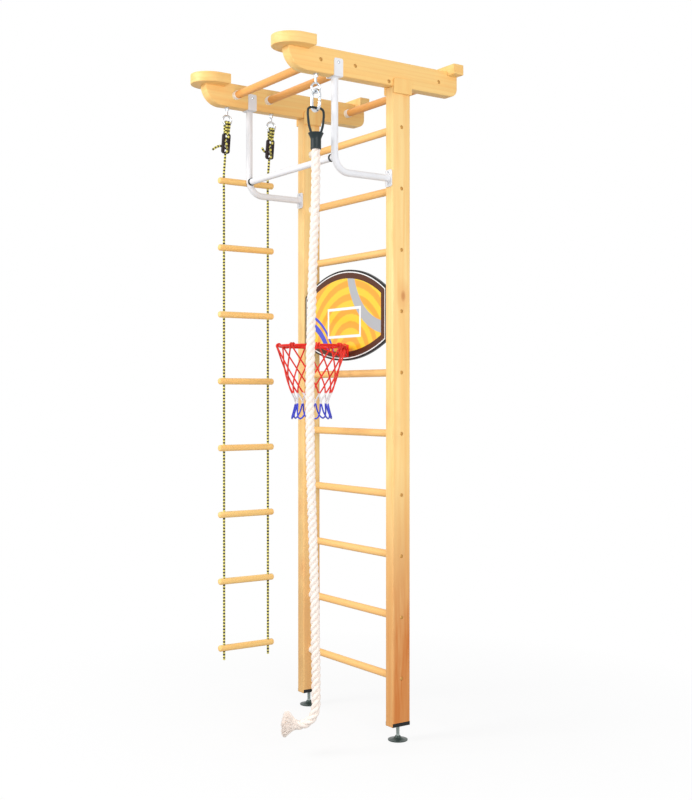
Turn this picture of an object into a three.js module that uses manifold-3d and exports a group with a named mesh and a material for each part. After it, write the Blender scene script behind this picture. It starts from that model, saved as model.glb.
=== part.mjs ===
// Wall bars for a home: two posts with rungs, wedged between floor and ceiling by screw feet, with overhead
// bars, a pull-up bar, a climbing rope, a rope ladder and a basketball hoop.
// Millimetres. X runs along the rungs, Y towards the wall, Z up.
// The origin is on the floor, midway between the two feet.

import * as THREE from "three";
import { mergeVertices } from "three/addons/utils/BufferGeometryUtils.js";
import Module from "manifold-3d";

// Gap between two pieces that touch
const FIT = 0.3;

// Posts and beams
const CEILING_HEIGHT = 2482;
const POST_PITCH = 600; // between the centre lines of the posts
const POST_WIDTH = 45;
const POST_DEPTH = 80;
const POST_EDGE = 6;
const POST_GROUND_GAP = 54;
const BEAM_HEIGHT = 90;
const BEAM_REACH_FRONT = 480; // from the posts' centre plane to the front end
const BEAM_REACH_BACK = 260;
const BEAM_NOSE_RADIUS = 75;
const BEAM_HEEL_RADIUS = 30;
const BEAM_EDGE = 3;

// Plates over the joint between post and beam
const CHEEK_THICKNESS = 9;
const CHEEK_LAP_POST = 25;
const CHEEK_LAP_BEAM = 29;
const CHEEK_CORNER = 11;
const CHEEK_EDGE = 1.5;

// Pads that press on the ceiling
const PAD_THICKNESS = 38;
const PAD_HOUSING = 16; // depth that the pads are let into the beams
const PAD_EDGE = 3;
const FRONT_PAD_WIDTH = 145;
const FRONT_PAD_DEPTH = 128;
const FRONT_PAD_STRAIGHT = 45; // length of its straight sides, before the round front
const FRONT_PAD_OVERHANG = 46; // past the beam's front end
const REAR_PAD_WIDTH = 124;
const REAR_PAD_DEPTH = 48;
const REAR_PAD_CORNER = 5;

// Rungs and overhead bars
const RUNG_COUNT = 10;
const RUNG_DIAMETER = 28;
const RUNG_SOCKET_DEPTH = 16;
const TOP_RUNG_DROP = 144; // below the beams
const LOWEST_RUNG_HEIGHT = 228;
const BAR_DIAMETER = 30;
const BAR_SOCKET_DEPTH = 16;
const BAR_STRADDLE = 72.5; // of the two front bars, either side of the pull-up bracket
const REAR_BAR_REACH = 172;

// Screw feet
const SHOE_LENGTH = 76;
const SHOE_HEIGHT = 14;
const SHOE_WALL = 3;
const FOOT_SCREW_DIAMETER = 13;
const FOOT_SCREW_GRIP = 45; // length inside the post
const FOOT_SCREW_SEAT = 10; // length inside the base
const FOOT_TRAVEL = 30; // up and down from rest
const FOOT_BORE_CLEARANCE = 1;
const FOOT_BASE_DIAMETER = 72;
const FOOT_BASE_HEIGHT = 17;
const FOOT_BASE_RIM = 4;
const FOOT_BASE_NECK = 20; // diameter at the top of the base

// Pull-up brackets and bar
const BRACKET_REACH = 277; // from the posts' centre plane to the upright tube
const BRACKET_DROP = 330; // from the beams to the level tube
const BRACKET_TUBE_DIAMETER = 25;
const BRACKET_BEND_RADIUS = 60;
const SADDLE_LENGTH = 37;
const SADDLE_HEIGHT = 60;
const SADDLE_WALL = 3;
const FLANGE_WIDTH = 40;
const FLANGE_HEIGHT = 62;
const FLANGE_THICKNESS = 4;
const FLANGE_CORNER = 8;
const PULL_UP_BAR_DIAMETER = 24;
const PULL_UP_BAR_RISE = 50; // above the level tubes

// Eye bolts
const EYE_STOCK = 8;
const EYE_DIAMETER = 42;
const LADDER_EYE_DIAMETER = 44;
const EYE_NECK = 28; // from the beam to the top of the ring
const EYE_THREAD = 21; // length inside the beam
const EYE_NUT_WIDTH = 15;
const EYE_NUT_HEIGHT = 9;

// Climbing rope and its link
const ROPE_LEAD = 78.5; // in front of the pull-up bracket
const ROPE_DIAMETER = 33;
const LINK_STOCK = 11;
const LINK_HEIGHT = 84;
const LINK_WIDTH = 60;
const LINK_STUB = 4; // straight ends either side of the gate
const GATE_DIAMETER = 9;
const GATE_GAP = 2; // below the gate's hinge
const GATE_TIP_GAP = 1; // above its tip, so that the tip's far edge swings past
const LOOP_STOCK = 8.5;
const LOOP_HEIGHT = 90;
const LOOP_WIDTH = 74;
const LOOP_STEM = 18; // depth of its legs inside the sleeve
const LOOP_LEG_SPACING = 40; // between the two legs where they enter the sleeve
const LOOP_END_SPACING = 28; // between the ends of the legs
const SLEEVE_DIAMETER = 37;
const SLEEVE_HEIGHT = 58;
const SLEEVE_COLLAR_DIAMETER = 54; // of its wide top, round the legs of the loop
const SLEEVE_COLLAR_HEIGHT = 23;
const SLEEVE_RIM = 1.5;
const SLEEVE_EYE = 12; // diameter of the hole between the legs
const SLEEVE_CLEARANCE = 0.8;
// The rope's route below its sleeve, as offsets in X and Y from the eye bolt and heights above the floor
const ROPE_ROUTE = [
  [0, 0, 2040], [0, -3, 1900], [0, -10, 1750], [0, -16, 1600], [0, -21, 1450], [0, -24, 1300],
  [0, -24, 1150], [0, -21, 1000], [0, -16, 850], [0, -10, 700], [0, -5, 550], [0, -2, 400],
  [0, 0, 290], [0, 0, 230], [0, 0, 196], [-1, -2, 163], [-6, -9, 140], [-14, -20, 124],
  [-23, -33, 115], [-33, -49, 111], [-41, -60, 112],
];

// Rope ladder
const LADDER_ROPE_PITCH = 198;
const LADDER_ROPE_DIAMETER = 10;
const LADDER_RUNG_COUNT = 8;
const LADDER_RUNG_DIAMETER = 25;
const LADDER_RUNG_LENGTH = 245;
const LADDER_TOP_DROP = 280; // from the beam to the top rung
const LADDER_LOWEST_RUNG_HEIGHT = 270;
const LADDER_ROPE_TAIL = 34; // below the lowest rung
const LADDER_HOLE_CLEARANCE = 0.6;
const LADDER_REST_GAP = 0.5; // between the top rung and the bracket it leans on
const ADJUSTER_WIDTH = 34;
const ADJUSTER_HEIGHT = 78;
const ADJUSTER_THICKNESS = 20;
const ADJUSTER_CORNER = 10;
const ADJUSTER_TAIL = 36; // rope end that sticks out in front
const ADJUSTER_TAIL_HEIGHT = 24; // above the adjuster's lower end
const SLING_LENGTH = 31; // from the eye's lower bar to the adjuster

// Basketball hoop
const HOOP_RUNG = 3; // rungs above it
const BOARD_THICKNESS = 12;
const BOARD_SIDE_GAP = 4.5; // to each post
const BOARD_HEIGHT = 347;
const BOARD_SIDE_HEIGHT = 192;
const BOARD_TOP_RISE = 86; // of the top arch above the straight sides
const BOARD_ABOVE_RUNG = 175; // top of the board above its rung
const CLAMP_SPACING = 320;
const CLAMP_WIDTH = 24;
const CLAMP_WALL = 3;
const CLAMP_PLATE_HEIGHT = 74;
const CLAMP_MOUTH = 50; // degrees left open at the back
const HOOP_DIAMETER = 260;
const HOOP_STOCK = 10;
const HOOP_REACH = 147; // from the board's face to the middle of the ring
const HOOP_DROP = 120; // below the rung that the board hangs on
const HOOP_PLATE_WIDTH = 66;
const HOOP_PLATE_HEIGHT = 48;
const HOOP_PLATE_THICKNESS = 4;
const HOOP_ARM_SPACING = 44;
const HOOP_ARM_DIAMETER = 9;
const HOOP_BRACE_DIAMETER = 7;
const HOOP_BRACE_SPACING = 52; // at the plate
const HOOP_BRACE_ANGLE = 40; // degrees round the ring from the board's side
const NET_CORD = 5;
const NET_COLUMNS = 8;
const NET_HEIGHT = 262;
const NET_NECK_DIAMETER = 126;
const NET_HEM_DIAMETER = 150;
// The ring, two rows of knots and the neck: share of the narrowing that is left, and depth below the ring
const NET_ROWS = [[1, 0], [0.85, 72], [0.46, 138], [0, 200]];

// Sides of the round sections, and steps of the arcs in an outline
const BAR_SIDES = 12;
const TUBE_SIDES = 10;
const CORD_SIDES = 8;
const RING_SIDES = 6;
const NET_CORD_SIDES = 3;
const NUT_SIDES = 6;
const TURNED_SIDES = 16;
const CORNER_STEPS = 4;
const ARCH_STEPS = 12;
const CLAMP_STEPS = 16;
const BEND_STEPS = 8;
const LINK_END_STEPS = 8;
const EYE_STEPS = 16;
const HOOP_STEPS = 32;
const LOOP_STEPS = 28;
const LADDER_ROPE_STEPS = 4; // between two rungs

// Worked out from the sizes above
const postX = POST_PITCH / 2;
const padBottom = CEILING_HEIGHT - PAD_THICKNESS;
const beamTop = padBottom + PAD_HOUSING;
const beamBottom = beamTop - BEAM_HEIGHT;
const beamMiddle = (beamTop + beamBottom) / 2;
const frontPadFront = -(BEAM_REACH_FRONT + FRONT_PAD_OVERHANG);
const frontPadBack = frontPadFront + FRONT_PAD_DEPTH;
const rearPadFront = BEAM_REACH_BACK - REAR_PAD_DEPTH;
const topRungZ = beamBottom - TOP_RUNG_DROP;
const rungPitch = (topRungZ - LOWEST_RUNG_HEIGHT) / (RUNG_COUNT - 1);
const rungHeights = Array.from({ length: RUNG_COUNT }, (_, i) => topRungZ - i * rungPitch);
const barStations = {
  front: -(BRACKET_REACH + BAR_STRADDLE),
  middle: -(BRACKET_REACH - BAR_STRADDLE),
  rear: REAR_BAR_REACH,
};
const bracketZ = beamBottom - BRACKET_DROP;
const pullUpBarZ = bracketZ + PULL_UP_BAR_RISE;
const eyeBarZ = beamBottom - EYE_NECK - EYE_DIAMETER + EYE_STOCK / 2;
const ladderEyeBarZ = beamBottom - EYE_NECK - LADDER_EYE_DIAMETER + EYE_STOCK / 2;
const ropeY = -(BRACKET_REACH + ROPE_LEAD);
const linkTopZ = eyeBarZ + EYE_STOCK / 2 + LINK_STOCK / 2 + FIT;
const linkRadius = (LINK_WIDTH - LINK_STOCK) / 2;
const linkBarZ = linkTopZ - (LINK_HEIGHT - LINK_STOCK);
const gateBottomZ = linkBarZ + linkRadius + LINK_STUB + GATE_GAP;
const gateTopZ = linkTopZ - linkRadius - LINK_STUB - GATE_TIP_GAP;
const loopTopZ = linkBarZ + LINK_STOCK / 2 + LOOP_STOCK / 2 + FIT;
const sleeveTopZ = loopTopZ + LOOP_STOCK / 2 - LOOP_HEIGHT;
const sleeveBottomZ = sleeveTopZ - SLEEVE_HEIGHT;
const ropeSeatZ = sleeveTopZ - SLEEVE_COLLAR_HEIGHT;
const ladderX = -(postX + BRACKET_TUBE_DIAMETER / 2 + LADDER_RUNG_DIAMETER / 2 + LADDER_REST_GAP);
const ladderTopZ = beamBottom - LADDER_TOP_DROP;
const ladderPitch = (ladderTopZ - LADDER_LOWEST_RUNG_HEIGHT) / (LADDER_RUNG_COUNT - 1);
const ladderRopes = {
  front: -(BRACKET_REACH + LADDER_ROPE_PITCH / 2),
  rear: -(BRACKET_REACH - LADDER_ROPE_PITCH / 2),
};
const adjusterTopZ = ladderEyeBarZ - SLING_LENGTH;
const adjusterBottomZ = adjusterTopZ - ADJUSTER_HEIGHT;
const ladderBendZ = ladderTopZ + LADDER_RUNG_DIAMETER; // the ropes lean from their eyes down to here
const ladderLean = Math.atan((-postX - ladderX) / (ladderEyeBarZ - ladderBendZ));
const hoopRungZ = rungHeights[HOOP_RUNG];
const clampRadius = RUNG_DIAMETER / 2 + FIT + CLAMP_WALL;
const boardBackY = -(clampRadius + CLAMP_WALL + FIT);
const boardFaceY = boardBackY - BOARD_THICKNESS;
const hoopY = boardFaceY - HOOP_REACH;
const hoopZ = hoopRungZ - HOOP_DROP;
const hoopRadius = (HOOP_DIAMETER - HOOP_STOCK) / 2;

const SIDES = { left: -1, right: 1 };

// Finishes
const finish = (color, roughness, metalness = 0) =>
  new THREE.MeshStandardMaterial({ color, roughness, metalness });
const POST_WOOD = finish(0xf0b878, 0.45);
const RUNG_WOOD = finish(0xf5c98a, 0.45);
const WHITE_PAINT = finish(0xf0f0f3, 0.35, 0.1);
const BLACK_STEEL = finish(0x26292a, 0.4, 0.6);
const BRIGHT_STEEL = finish(0xc9ccd0, 0.25, 1);
const BLACK_COAT = finish(0x23282a, 0.5);
const CREAM_ROPE = finish(0xf3e7da, 0.9);
const YELLOW_ROPE = finish(0xc9b84a, 0.85);
const BOARD_PRINT = finish(0xf2b632, 0.35);
const RED_PAINT = finish(0xd83226, 0.35, 0.1);
const NET_TWINE = finish(0xd8453a, 0.8);

const wasm = await Module();
wasm.setup();

const wallBars = new THREE.Group();
wallBars.name = "wall_bars";

const vector = (x, y, z) => new THREE.Vector3(x, y, z);

// A closed geometry as a solid that can be joined and cut
function solid(geometry) {
  const bare = geometry.index ? geometry.toNonIndexed() : geometry.clone();
  bare.deleteAttribute("normal");
  bare.deleteAttribute("uv");
  const merged = mergeVertices(bare);
  return new wasm.Manifold(new wasm.Mesh({
    numProp: 3,
    vertProperties: merged.attributes.position.array,
    triVerts: new Uint32Array(merged.index.array),
  }));
}

function join(...geometries) {
  return geometries.map(solid).reduce((whole, part) => whole.add(part));
}

// A solid back as a geometry
function geometryOf(whole) {
  const { vertProperties, triVerts } = whole.getMesh();
  const geometry = new THREE.BufferGeometry();
  geometry.setAttribute("position", new THREE.BufferAttribute(vertProperties, 3));
  geometry.setIndex(new THREE.BufferAttribute(triVerts, 1));
  return geometry;
}

// Adds one named piece to the assembly
function piece(name, shape, material, position = vector(0, 0, 0)) {
  const geometry = shape.isBufferGeometry ? shape : geometryOf(shape);
  const mesh = new THREE.Mesh(geometry, material);
  mesh.name = name;
  mesh.position.copy(position);
  wallBars.add(mesh);
}

function block(x0, x1, y0, y1, z0, z1) {
  const box = new THREE.BoxGeometry(Math.abs(x1 - x0), Math.abs(y1 - y0), Math.abs(z1 - z0));
  return box.translate((x0 + x1) / 2, (y0 + y1) / 2, (z0 + z1) / 2);
}

// A round bar between two points
function bar(from, to, radius, sides = BAR_SIDES) {
  const along = to.clone().sub(from);
  const turn = new THREE.Quaternion().setFromUnitVectors(vector(0, 1, 0), along.clone().normalize());
  const middle = from.clone().add(to).multiplyScalar(0.5);
  const cylinder = new THREE.CylinderGeometry(radius, radius, along.length(), sides);
  return cylinder.applyQuaternion(turn).translate(middle.x, middle.y, middle.z);
}

// A profile of [radius, height] points turned about Z
function turned(profile) {
  const points = profile.map(([radius, height]) => new THREE.Vector2(radius, height));
  return new THREE.LatheGeometry(points, TURNED_SIDES).rotateX(Math.PI / 2);
}

// A ring about the X axis
function eyeRing(diameter, stock, sides, steps) {
  return new THREE.TorusGeometry((diameter - stock) / 2, stock / 2, sides, steps).rotateY(Math.PI / 2);
}

// Extrudes a shape through a thickness, with its edges bevelled inwards
function slab(shape, thickness, edge, curveSegments) {
  return new THREE.ExtrudeGeometry(shape, {
    depth: thickness - 2 * edge,
    curveSegments,
    bevelEnabled: edge > 0,
    bevelSize: edge,
    bevelThickness: edge,
    bevelOffset: -edge,
    bevelSegments: 1,
  }).translate(0, 0, edge);
}

// A shape drawn in Y and Z, extruded along X
function alongX(shape, x0, x1, edge = 0, curveSegments = CORNER_STEPS) {
  const turn = new THREE.Matrix4().makeBasis(vector(0, 1, 0), vector(0, 0, 1), vector(1, 0, 0));
  return slab(shape, x1 - x0, edge, curveSegments).applyMatrix4(turn).translate(x0, 0, 0);
}

// A shape drawn in X and Z, extruded along Y
function alongY(shape, y0, y1, edge = 0, curveSegments = CORNER_STEPS) {
  const turn = new THREE.Matrix4().makeBasis(vector(1, 0, 0), vector(0, 0, 1), vector(0, -1, 0));
  return slab(shape, y1 - y0, edge, curveSegments).applyMatrix4(turn).translate(0, y1, 0);
}

// A shape drawn in X and Y, extruded up
function alongZ(shape, z0, z1, edge = 0, curveSegments = CORNER_STEPS) {
  return slab(shape, z1 - z0, edge, curveSegments).translate(0, 0, z0);
}

// A rectangle from one corner to the other, with a radius for each of its corners, counted anticlockwise
function rectangle(x0, y0, x1, y1, corners) {
  const [lowLeft, lowRight, highRight, highLeft] = corners;
  const quarter = Math.PI / 2;
  const shape = new THREE.Shape();
  const corner = (x, y, radius, start) => {
    if (radius > 0) shape.absarc(x, y, radius, start, start + quarter);
    else shape.lineTo(x, y);
  };
  shape.moveTo(x0 + lowLeft, y0);
  corner(x1 - lowRight, y0 + lowRight, lowRight, -quarter);
  corner(x1 - highRight, y1 - highRight, highRight, 0);
  corner(x0 + highLeft, y1 - highLeft, highLeft, quarter);
  corner(x0 + lowLeft, y0 + lowLeft, lowLeft, 2 * quarter);
  return shape;
}

// A curve that visits each point of a list once
class Route extends THREE.Curve {
  constructor(points) {
    super();
    this.points = points;
  }

  getPointAt(share, target = new THREE.Vector3()) {
    return target.copy(this.points[Math.round(share * (this.points.length - 1))]);
  }

  getTangentAt(share, target = new THREE.Vector3()) {
    const last = this.points.length - 1;
    const index = Math.round(share * last);
    const before = this.points[Math.max(index - 1, 0)];
    const after = this.points[Math.min(index + 1, last)];
    return target.copy(after).sub(before).normalize();
  }
}

// A round tube with closed ends along a curve
function tube(curve, steps, radius, sides) {
  const section = new THREE.Shape();
  section.absarc(0, 0, radius, 0, 2 * Math.PI);
  const ring = new THREE.Shape(section.getSpacedPoints(sides).slice(0, sides));
  return new THREE.ExtrudeGeometry(ring, { steps, extrudePath: curve, bevelEnabled: false });
}

// A tube with one ring at each point
function tubeThrough(points, radius, sides) {
  return tube(new Route(points), points.length - 1, radius, sides);
}

// Points of an arc in the plane of two square directions
function arc(centre, radius, across, upwards, from, to, steps) {
  return Array.from({ length: steps + 1 }, (_, i) => {
    const angle = from + ((to - from) * i) / steps;
    return centre.clone()
      .addScaledVector(across, radius * Math.cos(angle))
      .addScaledVector(upwards, radius * Math.sin(angle));
  });
}

const X = vector(1, 0, 0);
const Y = vector(0, 1, 0);
const Z = vector(0, 0, 1);

// A post, with its rung sockets, a recess for the shoe and a bore for the foot screw
function post(side) {
  const section = rectangle(-POST_WIDTH / 2, -POST_DEPTH / 2, POST_WIDTH / 2, POST_DEPTH / 2,
    [POST_EDGE, POST_EDGE, POST_EDGE, POST_EDGE]);
  let wood = solid(alongZ(section, POST_GROUND_GAP, beamBottom - FIT));
  const mouthX = -side * POST_WIDTH;
  const floorX = -side * (POST_WIDTH / 2 - RUNG_SOCKET_DEPTH - FIT);
  for (const z of rungHeights) {
    const socket = bar(vector(mouthX, 0, z), vector(floorX, 0, z), RUNG_DIAMETER / 2 + FIT);
    wood = wood.subtract(solid(socket));
  }
  const shoeY = SHOE_LENGTH / 2 + FIT;
  const soleTop = POST_GROUND_GAP + SHOE_WALL + FIT;
  const wallTop = POST_GROUND_GAP + SHOE_HEIGHT + FIT;
  const wallX = POST_WIDTH / 2 - SHOE_WALL - FIT;
  const below = POST_GROUND_GAP - SHOE_HEIGHT;
  wood = wood.subtract(solid(block(-POST_WIDTH, POST_WIDTH, -shoeY, shoeY, below, soleTop)));
  wood = wood.subtract(solid(block(wallX, POST_WIDTH, -shoeY, shoeY, below, wallTop)));
  wood = wood.subtract(solid(block(-POST_WIDTH, -wallX, -shoeY, shoeY, below, wallTop)));
  const boreTop = POST_GROUND_GAP + FOOT_SCREW_GRIP + FOOT_TRAVEL + FOOT_BORE_CLEARANCE;
  const boreRadius = FOOT_SCREW_DIAMETER / 2 + FOOT_BORE_CLEARANCE;
  return wood.subtract(solid(bar(vector(0, 0, below), vector(0, 0, boreTop), boreRadius)));
}

// A beam, with sockets for the overhead bars, seats for the pads and holes for the eye bolts
function beam(side, eyes) {
  const nose = Math.min(BEAM_NOSE_RADIUS, BEAM_HEIGHT - 2 * BEAM_EDGE);
  const outline = rectangle(-BEAM_REACH_FRONT, beamBottom, BEAM_REACH_BACK, beamTop,
    [nose, BEAM_HEEL_RADIUS, 0, 0]);
  let wood = solid(alongX(outline, -POST_WIDTH / 2, POST_WIDTH / 2, BEAM_EDGE));
  const mouthX = -side * POST_WIDTH;
  const floorX = -side * (POST_WIDTH / 2 - BAR_SOCKET_DEPTH - FIT);
  for (const y of Object.values(barStations)) {
    const socket = bar(vector(mouthX, y, beamMiddle), vector(floorX, y, beamMiddle), BAR_DIAMETER / 2 + FIT);
    wood = wood.subtract(solid(socket));
  }
  const seats = [
    [2 * frontPadFront, frontPadBack + FIT],
    [rearPadFront - FIT, 2 * BEAM_REACH_BACK],
  ];
  for (const [y0, y1] of seats) {
    wood = wood.subtract(solid(block(-POST_WIDTH, POST_WIDTH, y0, y1, padBottom - FIT, CEILING_HEIGHT)));
  }
  for (const y of eyes) {
    const hole = bar(vector(0, y, beamBottom - EYE_NECK), vector(0, y, beamBottom + EYE_THREAD + FIT),
      EYE_STOCK / 2 + FIT, CORD_SIDES);
    wood = wood.subtract(solid(hole));
  }
  return wood;
}

// A plate over the joint between post and beam, drawn in Y and Z
function cheek() {
  const outline = rectangle(-POST_DEPTH / 2, beamBottom - CHEEK_LAP_POST, POST_DEPTH / 2,
    beamBottom + CHEEK_LAP_BEAM, [0, 0, CHEEK_CORNER, CHEEK_CORNER]);
  return alongX(outline, -CHEEK_THICKNESS / 2, CHEEK_THICKNESS / 2, CHEEK_EDGE);
}

// A front pad has straight sides and a half-oval front
function frontPad() {
  const half = FRONT_PAD_WIDTH / 2;
  const shoulder = frontPadBack - FRONT_PAD_STRAIGHT;
  const outline = new THREE.Shape();
  outline.moveTo(half, frontPadBack);
  outline.lineTo(-half, frontPadBack);
  outline.lineTo(-half, shoulder);
  outline.absellipse(0, shoulder, half, shoulder - frontPadFront, Math.PI, 2 * Math.PI);
  return alongZ(outline, padBottom, CEILING_HEIGHT, PAD_EDGE, ARCH_STEPS);
}

// A rear pad is a block with rounded rear corners
function rearPad() {
  const outline = rectangle(-REAR_PAD_WIDTH / 2, rearPadFront, REAR_PAD_WIDTH / 2, BEAM_REACH_BACK,
    [0, 0, REAR_PAD_CORNER, REAR_PAD_CORNER]);
  return alongZ(outline, padBottom, CEILING_HEIGHT, PAD_EDGE);
}

// A level wooden bar between the two sides, its ends in sockets
function crossBar(y, z, diameter, socketDepth) {
  const reach = postX - POST_WIDTH / 2 + socketDepth;
  return bar(vector(-reach, y, z), vector(reach, y, z), diameter / 2);
}

// The steel shoe let into the bottom of a post
function shoe() {
  const half = POST_WIDTH / 2;
  const outline = new THREE.Shape([
    [-half, POST_GROUND_GAP], [half, POST_GROUND_GAP],
    [half, POST_GROUND_GAP + SHOE_HEIGHT], [half - SHOE_WALL, POST_GROUND_GAP + SHOE_HEIGHT],
    [half - SHOE_WALL, POST_GROUND_GAP + SHOE_WALL], [-half + SHOE_WALL, POST_GROUND_GAP + SHOE_WALL],
    [-half + SHOE_WALL, POST_GROUND_GAP + SHOE_HEIGHT], [-half, POST_GROUND_GAP + SHOE_HEIGHT],
  ].map(([x, z]) => new THREE.Vector2(x, z)));
  const channel = solid(alongY(outline, -SHOE_LENGTH / 2, SHOE_LENGTH / 2));
  const hole = bar(vector(0, 0, POST_GROUND_GAP - SHOE_WALL), vector(0, 0, POST_GROUND_GAP + SHOE_HEIGHT),
    FOOT_SCREW_DIAMETER / 2 + FIT);
  return channel.subtract(solid(hole));
}

// The flared base of a foot, with a seat for the screw
function footBase() {
  const rim = FOOT_BASE_DIAMETER / 2;
  const neck = FOOT_BASE_NECK / 2;
  const seat = FOOT_SCREW_DIAMETER / 2 + FIT;
  const flareSteps = 5;
  const flare = Array.from({ length: flareSteps + 1 }, (_, i) => {
    const angle = ((Math.PI / 2) * i) / flareSteps;
    return [
      rim - (rim - neck) * Math.sin(angle),
      FOOT_BASE_RIM + (FOOT_BASE_HEIGHT - FOOT_BASE_RIM) * (1 - Math.cos(angle)),
    ];
  });
  const seatFloor = FOOT_BASE_HEIGHT - FOOT_SCREW_SEAT;
  return turned([[0, 0], [rim, 0], ...flare, [seat, FOOT_BASE_HEIGHT], [seat, seatFloor], [0, seatFloor]]);
}

// The middle line of a bracket's tube, from the saddle round the bend to the flange
function bracketRoute(x) {
  const y = -BRACKET_REACH;
  const bend = vector(x, y + BRACKET_BEND_RADIUS, bracketZ + BRACKET_BEND_RADIUS);
  return [
    vector(x, y, beamBottom - FIT - SADDLE_WALL / 2),
    ...arc(bend, BRACKET_BEND_RADIUS, Y, Z, Math.PI, 1.5 * Math.PI, BEND_STEPS),
    vector(x, -POST_DEPTH / 2 - FIT - FLANGE_THICKNESS / 2, bracketZ),
  ];
}

// A pull-up bracket: a saddle over the beam, a bent tube and a flange on the post's front face
function bracket() {
  const y = -BRACKET_REACH;
  const saddleX = POST_WIDTH / 2 + FIT;
  const outerX = saddleX + SADDLE_WALL;
  const plateTop = beamBottom - FIT;
  const plateBottom = plateTop - SADDLE_WALL;
  const front = y - SADDLE_LENGTH / 2;
  const back = y + SADDLE_LENGTH / 2;
  const saddleTop = beamBottom + SADDLE_HEIGHT;
  const flangeBack = -POST_DEPTH / 2 - FIT;
  const flangeFront = flangeBack - FLANGE_THICKNESS;
  const flangeOutline = rectangle(-FLANGE_WIDTH / 2, bracketZ - FLANGE_HEIGHT / 2, FLANGE_WIDTH / 2,
    bracketZ + FLANGE_HEIGHT / 2, [FLANGE_CORNER, FLANGE_CORNER, FLANGE_CORNER, FLANGE_CORNER]);
  return join(
    block(-outerX, outerX, front, back, plateBottom, plateTop),
    block(saddleX, outerX, front, back, plateBottom, saddleTop),
    block(-outerX, -saddleX, front, back, plateBottom, saddleTop),
    tubeThrough(bracketRoute(0), BRACKET_TUBE_DIAMETER / 2, TUBE_SIDES),
    alongY(flangeOutline, flangeFront, flangeBack),
  );
}

// The pull-up bar, its ends hollowed to fit the tubes of the two brackets
function pullUpBar() {
  const z = pullUpBarZ;
  const y = -BRACKET_REACH;
  let steel = solid(bar(vector(-postX, y, z), vector(postX, y, z), PULL_UP_BAR_DIAMETER / 2));
  for (const side of Object.values(SIDES)) {
    const hollow = tubeThrough(bracketRoute(side * postX), BRACKET_TUBE_DIAMETER / 2 + FIT, TUBE_SIDES);
    steel = steel.subtract(solid(hollow));
  }
  return steel;
}

// An eye bolt in the underside of a beam, its ring across the beam
function eyeBolt(diameter) {
  const underside = beamBottom - FIT;
  const ringTop = beamBottom - EYE_NECK;
  return join(
    eyeRing(diameter, EYE_STOCK, RING_SIDES, EYE_STEPS).translate(0, 0, ringTop - diameter / 2),
    bar(vector(0, 0, ringTop - EYE_STOCK), vector(0, 0, beamBottom + EYE_THREAD), EYE_STOCK / 2, CORD_SIDES),
    bar(vector(0, 0, underside - EYE_NUT_HEIGHT), vector(0, 0, underside), EYE_NUT_WIDTH / 2, NUT_SIDES),
  );
}

// The link's bent rod, open on one long side for its gate
function linkRod() {
  const upper = vector(0, 0, linkTopZ - linkRadius);
  const lower = vector(0, 0, linkBarZ + linkRadius);
  const route = [
    vector(linkRadius, 0, upper.z - LINK_STUB),
    ...arc(upper, linkRadius, X, Z, 0, Math.PI, LINK_END_STEPS),
    ...arc(lower, linkRadius, X, Z, Math.PI, 2 * Math.PI, LINK_END_STEPS),
    vector(linkRadius, 0, lower.z + LINK_STUB),
  ];
  return tubeThrough(route, LINK_STOCK / 2, TUBE_SIDES);
}

// The gate that closes the link
function linkGate() {
  const hinge = vector(linkRadius, 0, gateBottomZ);
  const tip = vector(linkRadius, 0, gateTopZ);
  return bar(hinge, tip, GATE_DIAMETER / 2, TUBE_SIDES);
}

// The middle line of the coated loop: a bow hung on the link, its two legs led together into the sleeve
function loopCurve(stem) {
  const half = (LOOP_WIDTH - LOOP_STOCK) / 2;
  const drop = loopTopZ - sleeveTopZ;
  // Shares of the half width and of the drop, from the top down one side
  const side = [[0.62, 0], [0.93, 0.08], [1, 0.22], [0.97, 0.42], [0.87, 0.7]];
  const right = side.map(([width, depth]) => vector(0, half * width, loopTopZ - drop * depth));
  right.push(vector(0, LOOP_LEG_SPACING / 2, sleeveTopZ));
  right.push(vector(0, LOOP_END_SPACING / 2, sleeveTopZ - stem));
  const left = right.map((point) => vector(0, -point.y, point.z)).reverse();
  return new THREE.CatmullRomCurve3([...left, vector(0, 0, loopTopZ), ...right]);
}

function ropeLoop() {
  return tube(loopCurve(LOOP_STEM), LOOP_STEPS, LOOP_STOCK / 2, CORD_SIDES);
}

// The sleeve that grips the end of the rope, with a flared collar for the legs of the loop
function ropeSleeve() {
  const outer = SLEEVE_DIAMETER / 2;
  const collar = SLEEVE_COLLAR_DIAMETER / 2;
  const bore = ROPE_DIAMETER / 2 + SLEEVE_CLEARANCE;
  const eye = SLEEVE_EYE / 2;
  const body = turned([
    [outer, sleeveBottomZ], [outer, ropeSeatZ], [collar, sleeveTopZ - SLEEVE_RIM],
    [collar - SLEEVE_RIM, sleeveTopZ], [eye, sleeveTopZ], [eye, ropeSeatZ],
    [bore, ropeSeatZ], [bore, sleeveBottomZ], [outer, sleeveBottomZ],
  ]);
  const socket = LOOP_STOCK / 2 + SLEEVE_CLEARANCE;
  const sockets = tube(loopCurve(LOOP_STEM + FIT), LOOP_STEPS, socket, CORD_SIDES);
  return solid(body).subtract(solid(sockets));
}

// The climbing rope, from inside its sleeve down to its end, with the bends that it has kept
function climbingRope() {
  const route = [vector(0, 0, ropeSeatZ - FIT), ...ROPE_ROUTE.map(([x, y, z]) => vector(x, y, z))];
  return tubeThrough(route, ROPE_DIAMETER / 2, TUBE_SIDES);
}

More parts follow.
